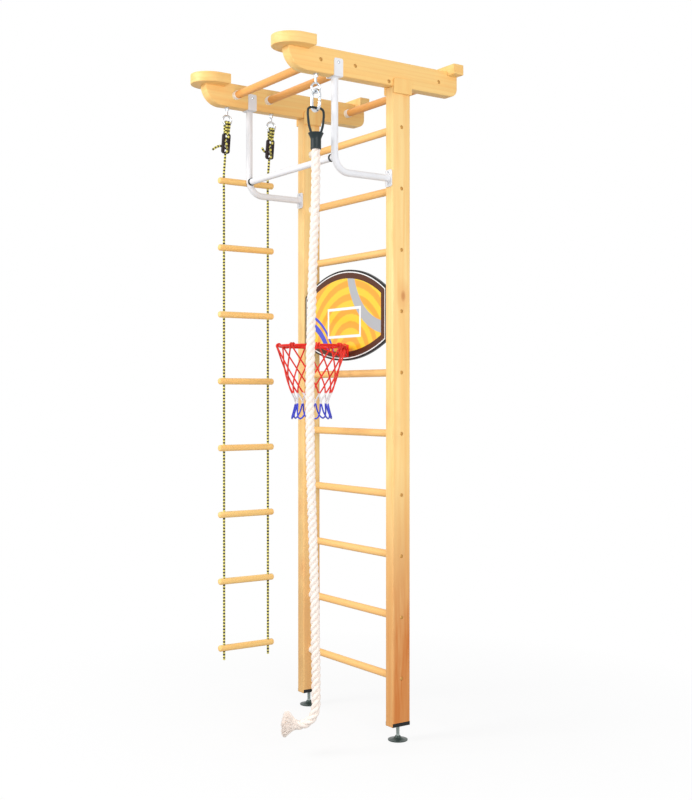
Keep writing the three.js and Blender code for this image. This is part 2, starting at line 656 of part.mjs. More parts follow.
// A ladder adjuster: a block with the rope's doubled end slung over the eye, and the rope's free end.
// It leans with the rope, because the ladder's top rung rests on the bracket.
function ladderAdjuster() {
  const half = ADJUSTER_WIDTH / 2;
  const radius = LADDER_ROPE_DIAMETER / 2;
  const slingRadius = EYE_STOCK / 2 + radius + FIT;
  const inside = adjusterTopZ - ADJUSTER_CORNER;
  const outline = rectangle(-half, adjusterBottomZ, half, adjusterTopZ,
    [ADJUSTER_CORNER, ADJUSTER_CORNER, ADJUSTER_CORNER, ADJUSTER_CORNER]);
  const sling = [
    vector(radius, 0, inside),
    ...arc(vector(0, 0, ladderEyeBarZ), slingRadius, X, Z, 0, Math.PI, LINK_END_STEPS),
    vector(-radius, 0, inside),
  ];
  const tailZ = adjusterBottomZ + ADJUSTER_TAIL_HEIGHT;
  return join(
    alongX(outline, -ADJUSTER_THICKNESS / 2, ADJUSTER_THICKNESS / 2),
    tubeThrough(sling, radius, CORD_SIDES),
    bar(vector(0, 0, tailZ), vector(0, -half - ADJUSTER_TAIL, tailZ), radius, CORD_SIDES),
  ).translate([0, 0, -ladderEyeBarZ])
    .rotate([0, THREE.MathUtils.radToDeg(ladderLean), 0])
    .translate([0, 0, ladderEyeBarZ]);
}

// A ladder rope, from its adjuster through the holes of all the rungs
function ladderRope() {
  const start = SLING_LENGTH + ADJUSTER_HEIGHT + FIT;
  const end = LADDER_LOWEST_RUNG_HEIGHT - LADDER_RUNG_DIAMETER / 2 - LADDER_ROPE_TAIL;
  const route = [
    vector(-postX - start * Math.sin(ladderLean), 0, ladderEyeBarZ - start * Math.cos(ladderLean)),
    vector(ladderX, 0, ladderBendZ),
  ];
  for (let i = 0; i <= (LADDER_RUNG_COUNT - 1) * LADDER_ROPE_STEPS; i++) {
    route.push(vector(ladderX, 0, ladderTopZ - (i * ladderPitch) / LADDER_ROPE_STEPS));
  }
  route.push(vector(ladderX, 0, end));
  return tubeThrough(route, LADDER_ROPE_DIAMETER / 2, CORD_SIDES);
}

// A ladder rung with a hole for each rope
function ladderRung() {
  const half = LADDER_RUNG_LENGTH / 2;
  const radius = LADDER_RUNG_DIAMETER / 2;
  let wood = solid(bar(vector(0, -half, 0), vector(0, half, 0), radius));
  for (const sign of [-1, 1]) {
    const y = (sign * LADDER_ROPE_PITCH) / 2;
    const hole = bar(vector(0, y, -LADDER_RUNG_DIAMETER), vector(0, y, LADDER_RUNG_DIAMETER),
      LADDER_ROPE_DIAMETER / 2 + LADDER_HOLE_CLEARANCE, CORD_SIDES);
    wood = wood.subtract(solid(hole));
  }
  return wood;
}

// The board: straight sides, an arched top and a shallower arched bottom
function hoopBoard() {
  const half = postX - POST_WIDTH / 2 - BOARD_SIDE_GAP;
  const top = hoopRungZ + BOARD_ABOVE_RUNG;
  const shoulder = top - BOARD_TOP_RISE;
  const hip = shoulder - BOARD_SIDE_HEIGHT;
  const bottomRise = BOARD_HEIGHT - BOARD_TOP_RISE - BOARD_SIDE_HEIGHT;
  const outline = new THREE.Shape();
  const arch = (z, rise, start) => {
    const radius = (half * half + rise * rise) / (2 * Math.abs(rise));
    const spread = Math.asin(half / radius);
    outline.absarc(0, z + rise - Math.sign(rise) * radius, radius, start - spread, start + spread);
  };
  arch(shoulder, BOARD_TOP_RISE, Math.PI / 2);
  arch(hip, -bottomRise, -Math.PI / 2);
  return alongY(outline, boardFaceY, boardBackY, 0, ARCH_STEPS);
}

// A clamp round the rung, welded to a plate on the board's back
function rungClamp() {
  const inner = RUNG_DIAMETER / 2 + FIT;
  const half = THREE.MathUtils.degToRad(CLAMP_MOUTH / 2);
  const ring = new THREE.Shape();
  ring.absarc(0, hoopRungZ, clampRadius, half, 2 * Math.PI - half);
  ring.absarc(0, hoopRungZ, inner, 2 * Math.PI - half, half, true);
  const plateBack = -clampRadius + CLAMP_WALL / 2;
  return join(
    alongX(ring, -CLAMP_WIDTH / 2, CLAMP_WIDTH / 2, 0, CLAMP_STEPS),
    block(-CLAMP_WIDTH / 2, CLAMP_WIDTH / 2, boardBackY + FIT, -clampRadius,
      hoopRungZ - CLAMP_PLATE_HEIGHT / 2, hoopRungZ + CLAMP_PLATE_HEIGHT / 2),
    block(-CLAMP_WIDTH / 2, CLAMP_WIDTH / 2, boardBackY + FIT, plateBack,
      hoopRungZ - inner / 2, hoopRungZ + inner / 2),
  );
}

// The hoop: a round ring, two arms, two braces and a plate on the board
function hoopRing() {
  const plateBack = boardFaceY - FIT;
  const plateFront = plateBack - HOOP_PLATE_THICKNESS;
  const plateTop = hoopZ + HOOP_ARM_DIAMETER;
  const armX = HOOP_ARM_SPACING / 2;
  const armEnd = hoopY + Math.sqrt(hoopRadius ** 2 - armX ** 2);
  const ring = new THREE.TorusGeometry(hoopRadius, HOOP_STOCK / 2, RING_SIDES, HOOP_STEPS)
    .translate(0, hoopY, hoopZ);
  const arms = [-armX, armX].map((x) =>
    bar(vector(x, plateFront + HOOP_PLATE_THICKNESS / 2, hoopZ), vector(x, armEnd, hoopZ),
      HOOP_ARM_DIAMETER / 2, CORD_SIDES));
  const plateBottom = plateTop - HOOP_PLATE_HEIGHT;
  const plateX = HOOP_PLATE_WIDTH / 2;
  const plate = block(-plateX, plateX, plateFront, plateBack, plateBottom, plateTop);
  const turn = THREE.MathUtils.degToRad(HOOP_BRACE_ANGLE);
  const braceFoot = plateBottom + HOOP_BRACE_DIAMETER;
  const braces = Object.values(SIDES).map((side) => bar(
    vector((side * HOOP_BRACE_SPACING) / 2, plateFront + HOOP_PLATE_THICKNESS / 4, braceFoot),
    vector(side * hoopRadius * Math.sin(turn), hoopY + hoopRadius * Math.cos(turn), hoopZ),
    HOOP_BRACE_DIAMETER / 2, CORD_SIDES));
  return join(ring, plate, ...arms, ...braces);
}

// The net: rows of cords that cross at knots, narrow at the neck and wider at the hem
function hoopNet() {
  const top = hoopZ - HOOP_STOCK / 2 - NET_CORD;
  const ringRadius = hoopRadius - NET_CORD / 2;
  const neck = NET_NECK_DIAMETER / 2;
  const rows = NET_ROWS.map(([share, depth]) => [neck + (ringRadius - neck) * share, depth]);
  rows.push([NET_HEM_DIAMETER / 2, NET_HEIGHT]);
  const knot = ([radius, depth], row, column, hand) => {
    const angle = ((column + 0.5 + (hand * row) / 2) * 2 * Math.PI) / NET_COLUMNS;
    return vector(radius * Math.cos(angle), hoopY + radius * Math.sin(angle), top - depth);
  };
  const cords = [];
  for (const hand of [-1, 1]) {
    for (let column = 0; column < NET_COLUMNS; column++) {
      const knots = rows.map((place, row) => knot(place, row, column, hand));
      cords.push(tubeThrough(knots, NET_CORD / 2, NET_CORD_SIDES));
    }
  }
  return join(...cords);
}

for (const [name, side] of Object.entries(SIDES)) {
  const place = vector(side * postX, 0, 0);
  const eyes = side > 0 ? [ropeY] : Object.values(ladderRopes);
  const cheekX = POST_WIDTH / 2 + FIT + CHEEK_THICKNESS / 2;
  const seatZ = FOOT_BASE_HEIGHT - FOOT_SCREW_SEAT + FIT;
  const screwTop = POST_GROUND_GAP + FOOT_SCREW_GRIP;
  const screw = bar(vector(0, 0, seatZ), vector(0, 0, screwTop), FOOT_SCREW_DIAMETER / 2);
  piece(`${name}_post`, post(side), POST_WOOD, place);
  piece(`${name}_beam`, beam(side, eyes), POST_WOOD, place);
  piece(`${name}_outer_cheek`, cheek(), POST_WOOD, vector(side * (postX + cheekX), 0, 0));
  piece(`${name}_inner_cheek`, cheek(), POST_WOOD, vector(side * (postX - cheekX), 0, 0));
  piece(`${name}_front_pad`, frontPad(), POST_WOOD, place);
  piece(`${name}_rear_pad`, rearPad(), POST_WOOD, place);
  piece(`${name}_foot_shoe`, shoe(), BLACK_STEEL, place);
  piece(`${name}_foot_screw`, screw, BRIGHT_STEEL, place);
  piece(`${name}_foot_base`, footBase(), BLACK_STEEL, place);
  piece(`${name}_pull_up_bracket`, bracket(), WHITE_PAINT, place);
}
piece("pull_up_bar", pullUpBar(), WHITE_PAINT);

rungHeights.forEach((z, i) => {
  const number = String(RUNG_COUNT - i).padStart(2, "0");
  piece(`wall_rung_${number}`, crossBar(0, 0, RUNG_DIAMETER, RUNG_SOCKET_DEPTH), RUNG_WOOD, vector(0, 0, z));
});
for (const [name, y] of Object.entries(barStations)) {
  piece(`overhead_bar_${name}`, crossBar(0, 0, BAR_DIAMETER, BAR_SOCKET_DEPTH), RUNG_WOOD,
    vector(0, y, beamMiddle));
}

const ropePlace = vector(postX, ropeY, 0);
piece("rope_eye_bolt", eyeBolt(EYE_DIAMETER), BRIGHT_STEEL, ropePlace);
piece("rope_link", linkRod(), BRIGHT_STEEL, ropePlace);
piece("link_gate", linkGate(), BRIGHT_STEEL, ropePlace);
piece("rope_loop", ropeLoop(), BLACK_COAT, ropePlace);
piece("rope_sleeve", ropeSleeve(), BLACK_COAT, ropePlace);
piece("climbing_rope", climbingRope(), CREAM_ROPE, ropePlace);

for (const [name, y] of Object.entries(ladderRopes)) {
  piece(`ladder_eye_${name}`, eyeBolt(LADDER_EYE_DIAMETER), BRIGHT_STEEL, vector(-postX, y, 0));
  piece(`ladder_adjuster_${name}`, ladderAdjuster(), BLACK_COAT, vector(-postX, y, 0));
  piece(`ladder_rope_${name}`, ladderRope(), YELLOW_ROPE, vector(0, y, 0));
}
for (let i = 0; i < LADDER_RUNG_COUNT; i++) {
  piece(`ladder_rung_${LADDER_RUNG_COUNT - i}`, ladderRung(), RUNG_WOOD,
    vector(ladderX, -BRACKET_REACH, ladderTopZ - i * ladderPitch));
}

piece("hoop_board", hoopBoard(), BOARD_PRINT);
for (const [name, side] of Object.entries(SIDES)) {
  piece(`${name}_rung_clamp`, rungClamp(), BLACK_STEEL, vector((side * CLAMP_SPACING) / 2, 0, 0));
}
piece("hoop_ring", hoopRing(), RED_PAINT);
piece("hoop_net", hoopNet(), NET_TWINE);

export default wallBars;
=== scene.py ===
"""Finished pieces of a set of wall bars, modelled around its CAD frame.

Metres. X runs along the rungs, Y towards the wall, Z up, and the origin is on the floor between the feet.
"""

import math
import random
from contextlib import contextmanager

import bmesh
import bpy
from bpy.props import FloatProperty, FloatVectorProperty, PointerProperty
from bpy.types import Operator, Panel, PropertyGroup
from mathutils import Matrix, Vector


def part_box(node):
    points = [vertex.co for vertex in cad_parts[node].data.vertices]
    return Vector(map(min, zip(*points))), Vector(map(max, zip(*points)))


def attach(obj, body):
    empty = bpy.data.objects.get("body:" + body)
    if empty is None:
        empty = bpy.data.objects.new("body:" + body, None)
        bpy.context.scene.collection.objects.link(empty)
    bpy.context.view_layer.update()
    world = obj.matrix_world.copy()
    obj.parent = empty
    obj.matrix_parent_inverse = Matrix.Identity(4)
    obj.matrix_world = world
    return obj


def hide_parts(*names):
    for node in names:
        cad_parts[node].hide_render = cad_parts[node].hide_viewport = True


bl_info = {
    "name": "Wall Bars",
    "version": (1, 0, 0),
    "blender": (4, 5, 0),
    "location": "View3D > Sidebar > Wall Bars",
    "description": "Models the finished pieces of a set of wall bars around its frame",
    "category": "Object",
}

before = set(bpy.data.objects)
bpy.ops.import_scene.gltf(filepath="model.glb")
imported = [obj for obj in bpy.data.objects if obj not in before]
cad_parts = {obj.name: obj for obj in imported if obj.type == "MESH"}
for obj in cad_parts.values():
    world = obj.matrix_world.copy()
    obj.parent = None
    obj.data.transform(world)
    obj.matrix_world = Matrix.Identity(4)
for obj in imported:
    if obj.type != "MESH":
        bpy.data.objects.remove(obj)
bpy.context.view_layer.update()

SIDES = {"left": -1, "right": 1}
X, Y, Z = Vector((1, 0, 0)), Vector((0, 1, 0)), Vector((0, 0, 1))
RUNGS = [f"wall_rung_{number:02d}" for number in range(1, 11)]
BARS = ["overhead_bar_front", "overhead_bar_middle", "overhead_bar_rear"]
LADDER_RUNGS = [f"ladder_rung_{number}" for number in range(1, 9)]
LADDER_ENDS = ["front", "rear"]

# Gap between two pieces that touch
GAP = 0.0003

# Wood
NOSE_RADIUS = 0.075
HEEL_RADIUS = 0.030
CHEEK_CORNER = 0.011
PAD_STRAIGHT = 0.045
PAD_CORNER = 0.005

# Bushes and screws of the rungs
BUSH_RIM = 0.0013
BUSH_LENGTH = 0.021
SCREW_RADIUS = 0.0066
SCREW_POCKET = 0.0028
# Place of the screw that draws each beam onto its post
BEAM_SCREW = (-0.057, 0.013)

# Feet
SHOE_WALL = 0.003
BASE_RIM = 0.004
BASE_NECK = 0.010

# Pull-up brackets
SADDLE_WALL = 0.003
SADDLE_LENGTH = 0.037
BEND_RADIUS = 0.060
FLANGE_WIDTH = 0.040
FLANGE_HEIGHT = 0.062
FLANGE_THICKNESS = 0.004
FLANGE_CORNER = 0.008

# Rope fittings
EYE_STOCK = 0.008
EYE_NUT_RADIUS = 0.0075
EYE_NUT_HEIGHT = 0.013
LINK_STUB = 0.004
LOOP_STOCK = 0.0085
# Half spacing and depth of the loop's legs at the top of the sleeve and at their ends inside it
LOOP_LEGS = [(0.020, 0.0), (0.014, 0.018)]
# Shares of the loop's half width and of its drop, from the top down one side
LOOP_SHAPE = [(0.62, 0), (0.93, 0.08), (1, 0.22), (0.97, 0.42), (0.87, 0.7)]
SLEEVE_RADIUS = 0.0185
SLEEVE_COLLAR = 0.023
ROPE_RADIUS = 0.0165

# Rope ladder
LADDER_CORD_RADIUS = 0.005
SLING_LENGTH = 0.031
ADJUSTER_WIDTH = 0.034
ADJUSTER_HEIGHT = 0.078
ADJUSTER_THICKNESS = 0.011
ADJUSTER_CORNER = 0.010
ADJUSTER_TAIL_HEIGHT = 0.028
# Drop and reach of the cord's free end at each adjuster
ADJUSTER_TAILS = {"front": (0.018, 0.036), "rear": (-0.014, 0.016)}
# Places of the cord as it weaves through the plate: across, sideways and share of the plate's height
ADJUSTER_WEAVE = [(0.010, 0.003, 0.82), (0.0, -0.003, 0.66), (0.011, -0.003, 0.50), (0.0, 0.003, 0.34),
                  (0.010, 0.003, 0.18)]
# Play between a sling and the ring that it hangs on
SLING_PLAY = 0.0012

# Basketball hoop
HOOP_RUNG = 7
BOARD_TOP_RISE = 0.086
BOARD_FOOT_RISE = 0.069
BOARD_EDGE = 0.0012
# How far inside the board's edge its bands end
BOARD_BANDS = {"board_rim": 0.007, "board_pinline": 0.011, "board_border": 0.033}
CLAMP_WALL = 0.003
HOOP_STOCK = 0.010
HOOP_ARM = 0.009
HOOP_ARMS = 0.044
HOOP_PLATE = 0.066
HOOP_BRACE = 0.007
HOOP_BRACES = 0.052
HOOP_BRACE_TURN = 40
NET_COLUMNS = 8
NET_RADIUS = 0.003
# Radius, depth below the ring and turn in columns of the net's knots, and of the round loops at its hem
NET_ROWS = [
    (0.105, 0.082, 0.5), (0.086, 0.148, 1), (0.063, 0.210, 1.5),
    (0.069, 0.246, 1.65), (0.0745, 0.267, 1.84), (0.075, 0.272, 2),
]

# The climbing rope's route below its sleeve: offsets in X and Y from its eye bolt, and height
ROPE_ROUTE = [
    (0, 0, 2.040), (0, -0.003, 1.900), (0, -0.010, 1.750), (0, -0.016, 1.600), (0, -0.021, 1.450),
    (0, -0.024, 1.300), (0, -0.024, 1.150), (0, -0.021, 1.000), (0, -0.016, 0.850), (0, -0.010, 0.700),
    (0, -0.005, 0.550), (0, -0.002, 0.400), (0, 0, 0.290), (0, 0, 0.230), (0, 0, 0.196),
    (-0.001, -0.002, 0.163), (-0.006, -0.009, 0.140),
    (-0.014, -0.020, 0.124), (-0.023, -0.033, 0.115), (-0.033, -0.049, 0.111), (-0.041, -0.060, 0.112),
]


# Properties


def linear(value):
    """One channel of a screen colour, 0 to 255, as light."""
    share = value / 255
    return share / 12.92 if share <= 0.04045 else ((share + 0.055) / 1.055) ** 2.4


def colour(name, description, *channels):
    return FloatVectorProperty(
        name=name, description=description, subtype="COLOR", size=3, min=0, max=1,
        default=[linear(channel) for channel in channels],
    )


def length(name, description, metres):
    return FloatProperty(name=name, description=description, default=metres, min=0, unit="LENGTH")


class WoodSettings(PropertyGroup):
    pale: colour("Pale wood", "Light wood of the beams and pads", 255, 214, 138)
    warm: colour("Warm wood", "Beams and pads in their broad darker streaks", 253, 201, 122)
    crown: colour("Post", "Light wood of the posts", 255, 221, 152)
    blush: colour("Post streak", "Posts in their broad darker streaks", 252, 204, 130)
    rung: colour("Rung", "Turned wood of the rungs", 254, 199, 124)
    bar: colour("Bar", "Turned wood of the overhead bars", 246, 180, 106)
    line: colour("Grain line", "Late wood in the grain lines", 238, 170, 92)
    knot: colour("Knot", "Middle of a knot", 190, 112, 58)
    halo: colour("Knot halo", "Wood round a knot", 240, 178, 112)
    # Painted shade: the redder, darker colour laid on the posts low down, where shade falls
    foot: colour("Post foot", "Redder wood low on the posts", 208, 124, 58)
    post_edge: length("Post edge", "Rounding of a post's long edges", 0.006)
    board_edge: length("Board edge", "Rounding of the edges of beams and pads", 0.003)


class MetalSettings(PropertyGroup):
    white: colour("White paint", "Powder coat of brackets and pull-up bar", 241, 241, 244)
    bush: colour("Bush", "White plastic of the bushes", 255, 255, 252)
    bright: colour("Bright plate", "Zinc plate of eyes, link and bolts", 214, 219, 225)
    stem: colour("Foot screw", "Plated steel of the foot screws", 168, 178, 174)
    foot: colour("Foot", "Coated steel of the feet", 66, 78, 74)
    black: colour("Black steel", "Coated steel of shoes and clamps", 26, 28, 28)
    screw: colour("Screw", "Browned screw heads", 206, 156, 84)
    red: colour("Red paint", "Paint of the hoop", 226, 34, 22)


class RopeSettings(PropertyGroup):
    cream: colour("Cream rope", "Yarn of the climbing rope", 250, 238, 228)
    # Painted shade: the darker, pinker colour in the grooves between the fibres of the climbing rope's yarn
    shade: colour("Rope groove", "Yarn between the strands of the climbing rope", 226, 204, 190)
    yellow: colour("Yellow cord", "Yellow yarn of the ladder's cords", 238, 228, 122)
    dark: colour("Dark cord", "Dark yarn of the ladder's cords", 40, 36, 20)
    plate: colour("Adjuster", "Plastic of the ladder's adjusters", 34, 20, 26)
    coat: colour("Coated loop", "Plastic coat of loop, sleeve and adjusters", 34, 46, 48)
    lay: length("Rope lay", "Length of one turn of the climbing rope's strands", 0.075)
    cord_lay: length("Cord lay", "Length of one turn of the cord's strands", 0.020)
    fleck: length("Fleck", "Length of strand from one dark fleck to the next", 0.0174)


class HoopSettings(PropertyGroup):
    rim: colour("Board rim", "Outer band of the board", 18, 18, 20)
    pinline: colour("Pin line", "Thin line inside the rim", 246, 246, 244)
    border: colour("Border", "Broad band inside the pin line", 84, 42, 20)
    yellow: colour("Field", "Yellow of the board's field", 250, 204, 40)
    orange: colour("Rings", "Orange rings of the board's field", 248, 166, 36)
    blue: colour("Blue", "Blue bands of the board and lower part of the net", 62, 72, 206)
    grey: colour("Grey", "Grey band of the board", 176, 178, 182)
    net_red: colour("Net red", "Upper part of the net", 228, 44, 28)
    net_white: colour("Net white", "Middle part of the net", 232, 230, 232)


class WallBarsSettings(PropertyGroup):
    wood: PointerProperty(type=WoodSettings)
    metal: PointerProperty(type=MetalSettings)
    rope: PointerProperty(type=RopeSettings)
    hoop: PointerProperty(type=HoopSettings)


# Modelling


def idle():
    """Leave edit mode and deselect everything."""
    if bpy.context.mode != "OBJECT":
        bpy.ops.object.mode_set(mode="OBJECT")
    bpy.ops.object.select_all(action="DESELECT")


def choose(*pieces):
    """Select these pieces alone, the first one active."""
    idle()
    for piece in pieces:
        piece.select_set(True)
    bpy.context.view_layer.objects.active = pieces[0]


def named(name):
    """The active object under a new name, with its place put into its mesh."""
    piece = bpy.context.object
    piece.name = name
    piece.data.name = name
    bpy.ops.object.transform_apply(location=True, rotation=True, scale=True)
    return piece


def every(_part):
    return True


@contextmanager
def shaping(piece, kind, wanted=every):
    """Edit mode, with the wanted vertices, edges or faces selected."""
    choose(piece)
    bpy.ops.object.mode_set(mode="EDIT")
    bpy.ops.mesh.select_mode(type=kind)
    bpy.ops.mesh.select_all(action="DESELECT")
    mesh = bmesh.from_edit_mesh(piece.data)
    parts = {"VERT": mesh.verts, "EDGE": mesh.edges, "FACE": mesh.faces}[kind]
    for part in list(parts):
        if wanted(part):
            part.select_set(True)
    bmesh.update_edit_mesh(piece.data)
    yield
    bpy.ops.object.mode_set(mode="OBJECT")


def runs(axis):
    """A test for edges that run along an axis."""
    def test(edge):
        along = edge.verts[1].co - edge.verts[0].co
        return abs(along.normalized().dot(axis)) > 0.999
    return test


def faces(direction):
    """A test for faces that look in a direction."""
    return lambda face: face.normal.dot(direction) > 0.999


def rims(axis):
    """A test for the edges round the two faces square to an axis."""
    def test(edge):
        square = [abs(face.normal.dot(axis)) > 0.999 for face in edge.link_faces]
        return len(square) == 2 and square[0] != square[1]
    return test


def bevel(piece, width, segments, wanted=every):
    with shaping(piece, "EDGE", wanted):
        bpy.ops.mesh.bevel(offset=width, segments=segments, affect="EDGES", clamp_overlap=True)


def block(name, low, high):
    """A box from its lowest corner to its highest."""
    idle()
    low, high = Vector(low), Vector(high)
    bpy.ops.mesh.primitive_cube_add(size=1, location=(low + high) / 2, scale=high - low)
    return named(name)


def aimed(name, place, heading):
    """The active object, turned from +Z to a heading and moved to its place."""
    piece = bpy.context.object
    piece.rotation_mode = "QUATERNION"
    piece.rotation_quaternion = Z.rotation_difference(Vector(heading))
    piece.location = place
    return named(name)


def turned(name, outline, place, heading=Z, steps=40):
    """A closed outline of (radius, height) points spun about a heading through its place."""
    idle()
    bpy.ops.mesh.primitive_circle_add(vertices=len(outline), fill_type="NOTHING")
    piece = bpy.context.object
    for vertex, (radius, height) in zip(piece.data.vertices, outline):
        vertex.co = (radius, 0, height)
    with shaping(piece, "EDGE"):
        bpy.ops.mesh.spin(steps=steps, angle=math.tau, center=(0, 0, 0), axis=Z)
        bpy.ops.mesh.select_all(action="SELECT")
        bpy.ops.mesh.remove_doubles(threshold=1e-6)
        bpy.ops.mesh.dissolve_degenerate(threshold=1e-7)
        bpy.ops.mesh.normals_make_consistent(inside=False)
    return aimed(name, place, heading)


def arc(centre, radius, start, end, steps):
    """Points of an arc as (across, up) pairs, with angles in degrees."""
    angles = [math.radians(start + (end - start) * step / steps) for step in range(steps + 1)]
    return [(centre[0] + radius * math.cos(a), centre[1] + radius * math.sin(a)) for a in angles]


def dowel(name, start, end, radius, dome):
    """A round bar between two points, with its ends rounded by a dome's radius."""
    start, end = Vector(start), Vector(end)
    long = (end - start).length
    outline = [(0, 0), *arc((radius - dome, dome), dome, -90, 0, 6)]
    outline += [*arc((radius - dome, long - dome), dome, 0, 90, 6), (0, long)]
    return turned(name, outline, start, end - start)


def bore(piece, *cutters, operation="DIFFERENCE"):
    """Cut pieces away from a piece, or join them to it, and use them up."""
    for cutter in cutters:
        choose(piece)
        bpy.ops.object.modifier_add(type="BOOLEAN")
        boolean = piece.modifiers[-1]
        boolean.object = cutter
        boolean.operation = operation
        boolean.solver = "EXACT"
        bpy.ops.object.modifier_apply(modifier=boolean.name)
        bpy.data.objects.remove(cutter)
    return piece


def weld(piece, *others):
    return bore(piece, *others, operation="UNION")


def gathered(name, pieces):
    """Several pieces joined into one object."""
    choose(*pieces)
    bpy.ops.object.join()
    return named(name)


def copies(name, piece, places):
    """A copy of a piece at each place, given as a matrix, joined into one object; the piece is used up."""
    made = []
    for place in places:
        choose(piece)
        bpy.ops.object.duplicate(linked=False)
        copy = bpy.context.object
        copy.data.transform(place)
        made.append(copy)
    bpy.data.objects.remove(piece)
    return gathered(name, made)


def stood(place, heading):
    """The matrix that takes a piece from +Z at the origin to a place and a heading."""
    return Matrix.Translation(place) @ Z.rotation_difference(Vector(heading)).to_matrix().to_4x4()


def middle(node):
    low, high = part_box(node)
    return (low + high) / 2


# Tubes, cords and strands


def smoothed(points, step):
    """Points about a step apart on one smooth curve through a list of points."""
    points = [Vector(point) for point in points]
    ends = [2 * points[0] - points[1], *points, 2 * points[-1] - points[-2]]
    line = [points[0]]
    for before, start, end, after in zip(ends, ends[1:], ends[2:], ends[3:]):
        here, now, there = [math.sqrt((b - a).length) for a, b in ((before, start), (start, end), (end, after))]
        leave = end - start + now * ((start - before) / here - (end - before) / (here + now))
        arrive = end - start + now * ((after - end) / there - (after - start) / (now + there))
        count = max(1, round((end - start).length / step))
        for number in range(1, count + 1):
            t = number / count
            line.append(
                (2 * t ** 3 - 3 * t ** 2 + 1) * start + (t ** 3 - 2 * t ** 2 + t) * leave
                + (3 * t ** 2 - 2 * t ** 3) * end + (t ** 3 - t ** 2) * arrive
            )
    return line


def carried(line):
    """Heading and two square directions at each point of a line, turned as little as possible along it."""
    last = len(line) - 1
    heads = [(line[min(i + 1, last)] - line[max(i - 1, 0)]).normalized() for i in range(last + 1)]
    across = heads[0].orthogonal().normalized()
    found = []
    for head in heads:
        across = (across - head * across.dot(head)).normalized()
        found.append((head, across, head.cross(across)))
    return found


def travelled(line):
    """Distance along a line at each of its points."""
    far = [0.0]
    for start, end in zip(line, line[1:]):
        far.append(far[-1] + (end - start).length)
    return far


def tubes(name, lines, radius, sides, closed=False, taper=None):
    """Tubes along lines of points, with a UV map that runs round and along."""
    corners, quads, caps, uvs = [], [], [], []
    for line in lines:
        first = len(corners)
        far = travelled(line)
        rings = len(line)
        for (_, across, up), point, along in zip(carried(line), line, far):
            size = radius * (taper(along / far[-1]) if taper else 1)
            for side in range(sides):
                angle = math.tau * side / sides
                corners.append(point + size * (math.cos(angle) * across + math.sin(angle) * up))
        for ring in range(rings if closed else rings - 1):
            here, there = first + ring * sides, first + (ring + 1) % rings * sides
            low = far[ring]
            high = far[ring + 1] if ring + 1 < rings else low + (line[0] - line[-1]).length
            for side in range(sides):
                after = (side + 1) % sides
                quads.append((here + side, here + after, there + after, there + side))
                left, right = side / sides, (side + 1) / sides
                uvs += [(left, low), (right, low), (right, high), (left, high)]
        if not closed:
            caps.append(tuple(first + side for side in reversed(range(sides))))
            caps.append(tuple(first + (rings - 1) * sides + side for side in range(sides)))
    mesh = bpy.data.meshes.new(name)
    mesh.from_pydata(corners, [], quads + caps)
    uvs += [(0.0, 0.0)] * (len(caps) * sides)
    layer = mesh.uv_layers.new(name="along")
    layer.data.foreach_set("uv", [value for pair in uvs for value in pair])
    piece = bpy.data.objects.new(name, mesh)
    bpy.context.scene.collection.objects.link(piece)
    choose(piece)
    bpy.ops.object.shade_smooth()
    return piece


def wound(line, radius, lay, turn, hand=1, wave=0.0, waves=0):
    """A strand wound round a line: its turn is where it starts, and a wave takes it over and under others."""
    strand = []
    for (_, across, up), point, along in zip(carried(line), line, travelled(line)):
        angle = math.tau * (turn + hand * along / lay)
        reach = radius + wave * math.cos(waves * math.tau * along / lay + math.pi * (turn * waves % 2))
        strand.append(point + reach * (math.cos(angle) * across + math.sin(angle) * up))
    return strand


# Finishes


def node(tree, kind, inputs=None, **settings):
    """A shader node with its settings, and its inputs set or linked."""
    made = tree.nodes.new("ShaderNode" + kind)
    for key, value in settings.items():
        setattr(made, key, value)
    for key, value in (inputs or {}).items():
        if isinstance(value, bpy.types.NodeSocket):
            tree.links.new(value, made.inputs[key])
        else:
            made.inputs[key].default_value = value
    return made


def finish(name):
    """A new material and its node tree, emptied."""
    material = bpy.data.materials.new(name)
    material.use_nodes = True
    tree = material.node_tree
    tree.nodes.clear()
    return material, tree


def shaded(tree, **inputs):
    """A principled surface with these inputs, as the material's output."""
    surface = node(tree, "BsdfPrincipled", {key.replace("_", " "): value for key, value in inputs.items()})
    node(tree, "OutputMaterial", {"Surface": surface.outputs["BSDF"]})


def object_place(tree, scale=(1, 1, 1), location=(0, 0, 0)):
    place = node(tree, "TexCoord").outputs["Object"]
    return node(tree, "Mapping", {"Vector": place, "Scale": scale, "Location": location}).outputs["Vector"]


def noise(tree, vector, scale, detail=2.0, distortion=0.0):
    inputs = {"Vector": vector, "Scale": scale, "Detail": detail, "Distortion": distortion}
    return node(tree, "TexNoise", inputs).outputs["Fac"]


def between(tree, value, low, high, start=0.0, end=1.0):
    """A value mapped from one range to another and kept inside it."""
    inputs = {"Value": value, "From Min": low, "From Max": high, "To Min": start, "To Max": end}
    return node(tree, "MapRange", inputs).outputs["Result"]


def maths(tree, operation, first, second=0.0):
    made = node(tree, "Math", operation=operation)
    for socket, value in zip(made.inputs, (first, second)):
        if isinstance(value, bpy.types.NodeSocket):
            tree.links.new(value, socket)
        else:
            socket.default_value = value
    return made.outputs["Value"]


def mixed(tree, share, first, second):
    """Two colours mixed by a share."""
    made = node(tree, "Mix", data_type="RGBA")
    sockets = [made.inputs["Factor"], *[s for s in made.inputs if s.name in "AB" and s.type == "RGBA"]]
    for socket, value in zip(sockets, (share, first, second)):
        if isinstance(value, bpy.types.NodeSocket):
            tree.links.new(value, socket)
        else:
            socket.default_value = value if socket.name == "Factor" else (*value[:3], 1)
    return next(s for s in made.outputs if s.type == "RGBA")


def bumped(tree, height, strength, distance):
    inputs = {"Height": height, "Strength": strength, "Distance": distance}
    return node(tree, "Bump", inputs).outputs["Normal"]


